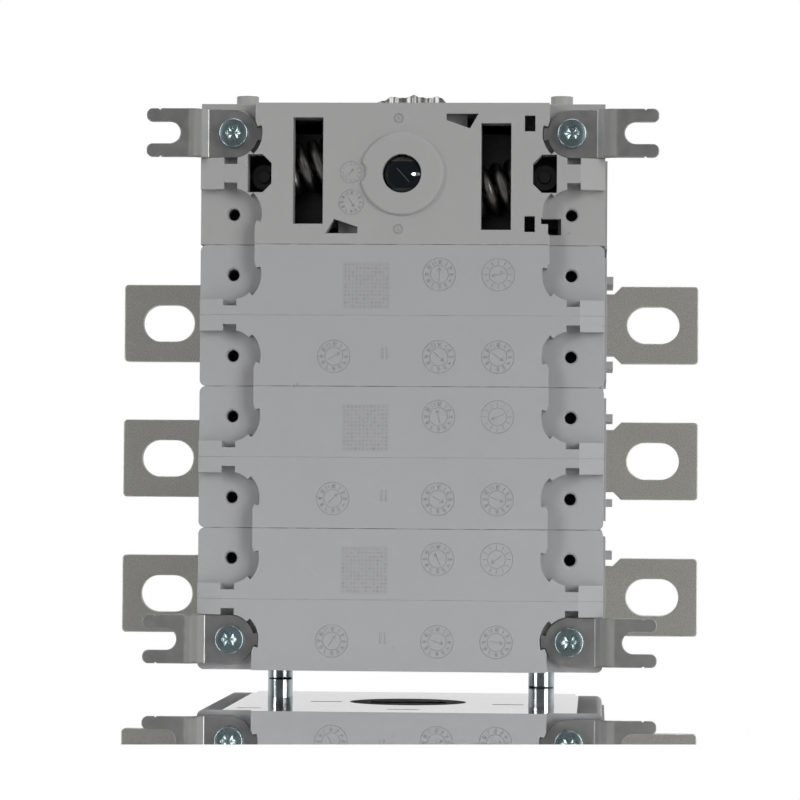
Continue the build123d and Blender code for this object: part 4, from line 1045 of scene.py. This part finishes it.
def dial_strokes(centre, radius, arrow, numbered):
    """The strokes of a mould dial: the numbers 1 to 12 or ticks round it, and an arrow."""
    out = []
    for k in range(12):
        around = math.radians(90 - 30 * (k + 1))
        outward = np.array([math.cos(around), math.sin(around)])
        aside = np.array([outward[1], -outward[0]])
        if not numbered:
            out.append([0.66 * radius * outward, 0.86 * radius * outward])
            continue
        text = str(k + 1)
        tall = 0.20 * radius
        for place, digit in enumerate(text):
            left = (place - (len(text) - 1) / 2) * 0.85 - 0.3
            for bar in STROKES[digit]:
                ends = [0.66 * radius * outward + tall * ((left + u) * aside + v * outward)
                        for u, v in BARS[bar]]
                out.append(ends)
    way = np.array([math.cos(math.radians(arrow)), math.sin(math.radians(arrow))])
    side = np.array([-way[1], way[0]])
    tip = 0.40 * radius * way
    out += [[-0.40 * radius * way, tip], [tip, 0.22 * radius * way + 0.11 * radius * side],
            [tip, 0.22 * radius * way - 0.11 * radius * side]]
    return np.array(out) + np.asarray(centre)


class DISCONNECTOR_OT_mould_marks(bpy.types.Operator):
    """Raise the moulded dials, the twin strokes and the two small ring marks on the back"""

    bl_idname = "disconnector.mould_marks"
    bl_label = "Mould marks"

    def execute(self, context):
        height = looks().mark_height
        for number, level in enumerate(POLE_HEIGHTS, start=1):
            parts = []
            for x, side, arrow, numbered in POLE_DIALS:
                centre = np.array([x, level + side * DIAL_OFFSET]) * MM
                strokes = dial_strokes(centre, POLE_DIAL_RADIUS, arrow + 13 * number, numbered)
                parts += [ridges(strokes, 0.00007, height),
                          ring_ridge(centre, POLE_DIAL_RADIUS, 0.00008, height),
                          ring_ridge(centre, 0.0022, 0.00006, height * 0.8)]
            twins = np.array([[[x, level + z] for z in TWIN_ENDS] for x in TWIN_STROKES]) * MM
            parts.append(ridges(twins, 0.00022, height * 1.5))
            new_piece(f"mould_marks_{number}", joined(parts), "mark_shade_grey", "housing", (), 50.0)
        parts = []
        for x, z, radius, arrow, numbered in CASE_DIALS:
            centre = np.array([x, MECHANISM_HEIGHT + z]) * MM
            parts += [ridges(dial_strokes(centre, radius * MM, arrow, numbered), 0.00006, height),
                      ring_ridge(centre, radius * MM, 0.00008, height)]
        new_piece("mould_marks_mechanism", joined(parts), "mark_shade_grey", "housing", (), 50.0)
        return {"FINISHED"}


def block(low, high):
    """A plain closed block: a rectangle at each of two depths, closed to its middle."""
    x = np.array([low[0], high[0], high[0], low[0]])
    z = np.array([low[2], low[2], high[2], high[2]])
    middle = (np.full(4, x.mean()), np.full(4, z.mean()))
    rows = [(*middle, low[1]), (x, z, low[1]), (x, z, high[1]), (*middle, high[1])]
    return closed_grid(np.stack([np.stack([a, np.full(4, depth), b], -1) for a, b, depth in rows]))


class DISCONNECTOR_OT_window_webs(bpy.types.Operator):
    """Set the short webs that stand in the two slanted windows of the mechanism"""

    bl_idname = "disconnector.window_webs"
    bl_label = "Window webs"

    def execute(self, context):
        upper = np.array(WEB_CORNERS)
        lower = np.sort(upper * (-1.0, 1.0, -1.0), axis=0)
        axis = np.array([0.0, 0.0, MECHANISM_HEIGHT])
        webs = [block(*((corners + axis) * MM)) for corners in (upper, lower)]
        new_piece("window_webs", joined(webs), "housing_grey", "housing")
        return {"FINISHED"}


class DISCONNECTOR_OT_top_clip(bpy.types.Operator):
    """Press the thin crumpled clip that lies on top of the mechanism"""

    bl_idname = "disconnector.top_clip"
    bl_label = "Top clip"

    def execute(self, context):
        low, high = (np.array(corner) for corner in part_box("top_clip"))
        surface = crumpled_strip(low - (CLIP_REACH[0], 0, 0), high + (CLIP_REACH[1], 0, 0))
        new_piece("crumpled_clip", surface, "bare_steel", "housing", ["top_clip"], 55.0, wall=0.0)
        return {"FINISHED"}


# Knots of the clip's crest line: the share of its length, and the share of its height there
CREST = ((0.0, 0.0), (0.06, 0.25), (0.12, 0.33), (0.17, 0.45), (0.23, 0.75), (0.30, 0.68),
         (0.40, 0.62), (0.48, 0.72), (0.53, 0.96), (0.58, 0.75), (0.64, 0.66), (0.72, 0.60),
         (0.79, 0.66), (0.85, 0.75), (0.90, 0.62), (0.96, 0.25), (1.0, 0.0))


def crumpled_strip(low, high):
    """A thin strip over a length and depth: its crest line rises and falls through knots along X.

    Row u runs along X and column v along Y. The crest line drifts sideways with the depth, and fine
    sines crease it. The lower skin is the same field, but comes down to the case at the near edge,
    as a turned-down hem does, except in one short gap.
    """
    u = np.linspace(0, 1, 150)[:, None]
    v = np.linspace(0, 1, 34)[None]
    tall = high[2] - low[2] - 0.0004
    share, crest = zip(*CREST)
    drift = np.clip(u + 0.045 * np.sin(3.4 * v) * np.sin(np.pi * u), 0, 1)
    ends = np.clip(np.minimum(u, 1 - u) / 0.05, 0, 1)
    sheet = np.interp(drift, share, crest) * (1 - 0.25 * v)
    sheet = sheet + ends * (0.03 * np.sin(70 * u + 9 * v) + 0.02 * np.sin(31 * u - 14 * v))
    sheet = np.clip(sheet, 0, 1) * tall
    gap = np.clip(1 - np.abs(u - 0.685) / 0.07, 0, 1) ** 0.5
    hem = np.clip(v / 0.2, 0, 1) ** 2 * (1 - gap) + gap * 0.42
    x = low[0] + u * (high[0] - low[0]) + 0 * v
    pleat = 0.0004 + 0.00022 * np.sin(29 * u + 2 * v) + 0.00011 * np.sin(53 * u - 3 * v)
    y = low[1] + v * (high[1] - low[1]) + pleat * (1 - v)
    top = np.stack([x, y, low[2] + 0.0004 + sheet], -1)
    under = np.stack([x, y, low[2] + 0.00002 + sheet * hem], -1)
    loop = np.concatenate([top, under[:, ::-1]], axis=1)
    first = np.broadcast_to(loop[:1].mean(1, keepdims=True), loop[:1].shape)
    last = np.broadcast_to(loop[-1:].mean(1, keepdims=True), loop[-1:].shape)
    return closed_grid(np.concatenate([first, loop, last]))


def panel_light(name, place, width, height, power):
    """A soft rectangular light at a place, turned to the origin."""
    lamp = bpy.data.lights.new(name, "AREA")
    lamp.shape = "RECTANGLE"
    lamp.size, lamp.size_y = width, height
    lamp.energy = power * looks().light_power
    holder = bpy.data.objects.new(name, lamp)
    holder.location = place
    holder.rotation_euler = (-Vector(place)).to_track_quat("-Z", "Y").to_euler()
    bpy.context.scene.collection.objects.link(holder)


class DISCONNECTOR_OT_stage(bpy.types.Operator):
    """Lay the pale glossy floor, set the soft lights and put the camera in the photograph's place"""

    bl_idname = "disconnector.stage"
    bl_label = "Stage"

    def execute(self, context):
        scene = context.scene
        left, right = FLOOR_EDGE
        corners = [(*left, FLOOR_LEVEL), (*right, FLOOR_LEVEL), (right[0], FLOOR_BACK, FLOOR_LEVEL),
                   (left[0], FLOOR_BACK, FLOOR_LEVEL)]
        mesh = bpy.data.meshes.new("floor")
        mesh.from_pydata(corners, [], [(0, 1, 2, 3)])
        made, n, out, place = shader("floor", Roughness=0.0, Metallic=1.0)
        n.feed(out["Base Color"], mottled(n, n.noise(place, 3.0, 2.0), (1.0, 1.0, 1.0), 0.975, 0.99))
        mesh.materials.append(made)
        floor = bpy.data.objects.new("floor", mesh)
        scene.collection.objects.link(floor)
        self.light_world(scene)
        for name, settings in LIGHTS.items():
            panel_light(name, *settings)
        lens = bpy.data.cameras.new("camera")
        lens.sensor_width = FILM_WIDTH
        lens.lens = FOCAL_LENGTH
        lens.clip_start, lens.clip_end = 0.05, 50.0
        camera = bpy.data.objects.new("camera", lens)
        camera.location = CAMERA_PLACE
        camera.rotation_euler = [math.radians(turn) for turn in CAMERA_TURNS]
        scene.collection.objects.link(camera)
        scene.camera = camera
        scene.view_settings.view_transform = "Standard"
        return {"FINISHED"}

    def light_world(self, scene):
        """Light the world: white for the camera, a room that darkens towards the lens for the rest.

        What the floor mirrors straight into the camera is white too. The world counts one bounce
        more than the surface does, so its first mirrored ray has a depth of two.
        """
        world = bpy.data.worlds.new("studio")
        world.use_nodes = True
        scene.world = world
        n = Nodes(world.node_tree)
        ground = next(x for x in world.node_tree.nodes if x.type == "BACKGROUND")
        way = n.add("ShaderNodeSeparateXYZ", {0: n.add("ShaderNodeTexCoord").outputs["Generated"]})
        share = n.ramp(way.outputs["Y"], -0.55, 0.55)
        room = n.mix(share, (0.16, 0.16, 0.165), (1.0, 1.0, 1.0))
        path = n.add("ShaderNodeLightPath").outputs
        first = n.ramp(path["Ray Depth"], 2.6, 2.4)
        seen = n.highest([path["Is Camera Ray"], n.times(path["Is Singular Ray"], first)])
        n.feed(ground.inputs["Color"], n.mix(seen, room, (1.0, 1.0, 1.0)))


class DISCONNECTOR_PT_panel(bpy.types.Panel):
    """Lists the sizes and the steps"""

    bl_label = "Switch disconnector"
    bl_idname = "DISCONNECTOR_PT_panel"
    bl_space_type = "VIEW_3D"
    bl_region_type = "UI"
    bl_category = "Disconnector"

    def draw(self, context):
        sizes = context.scene.disconnector_looks
        for key in DisconnectorLooks.__annotations__:
            self.layout.prop(sizes, key)
        for step in STEPS:
            self.layout.operator(step.bl_idname)


STEPS = [
    DISCONNECTOR_OT_housings,
    DISCONNECTOR_OT_metalwork,
    DISCONNECTOR_OT_contacts,
    DISCONNECTOR_OT_toggle_springs,
    DISCONNECTOR_OT_foot_screws,
    DISCONNECTOR_OT_tie_rods,
    DISCONNECTOR_OT_drive_shaft,
    DISCONNECTOR_OT_mould_marks,
    DISCONNECTOR_OT_window_webs,
    DISCONNECTOR_OT_top_clip,
    DISCONNECTOR_OT_stage,
]
CLASSES = [DisconnectorLooks, *STEPS, DISCONNECTOR_PT_panel]


def register():
    """Registers the property group, the operators and the panel."""
    for each in CLASSES:
        bpy.utils.register_class(each)
    bpy.types.Scene.disconnector_looks = PointerProperty(type=DisconnectorLooks)


def unregister():
    """Takes them away again."""
    del bpy.types.Scene.disconnector_looks
    for each in reversed(CLASSES):
        bpy.utils.unregister_class(each)


def main():
    """Registers the add-on and runs its steps in order."""
    register()
    for step in STEPS:
        area, name = step.bl_idname.split(".")
        getattr(getattr(bpy.ops, area), name)()


if __name__ == "__main__":
    main()
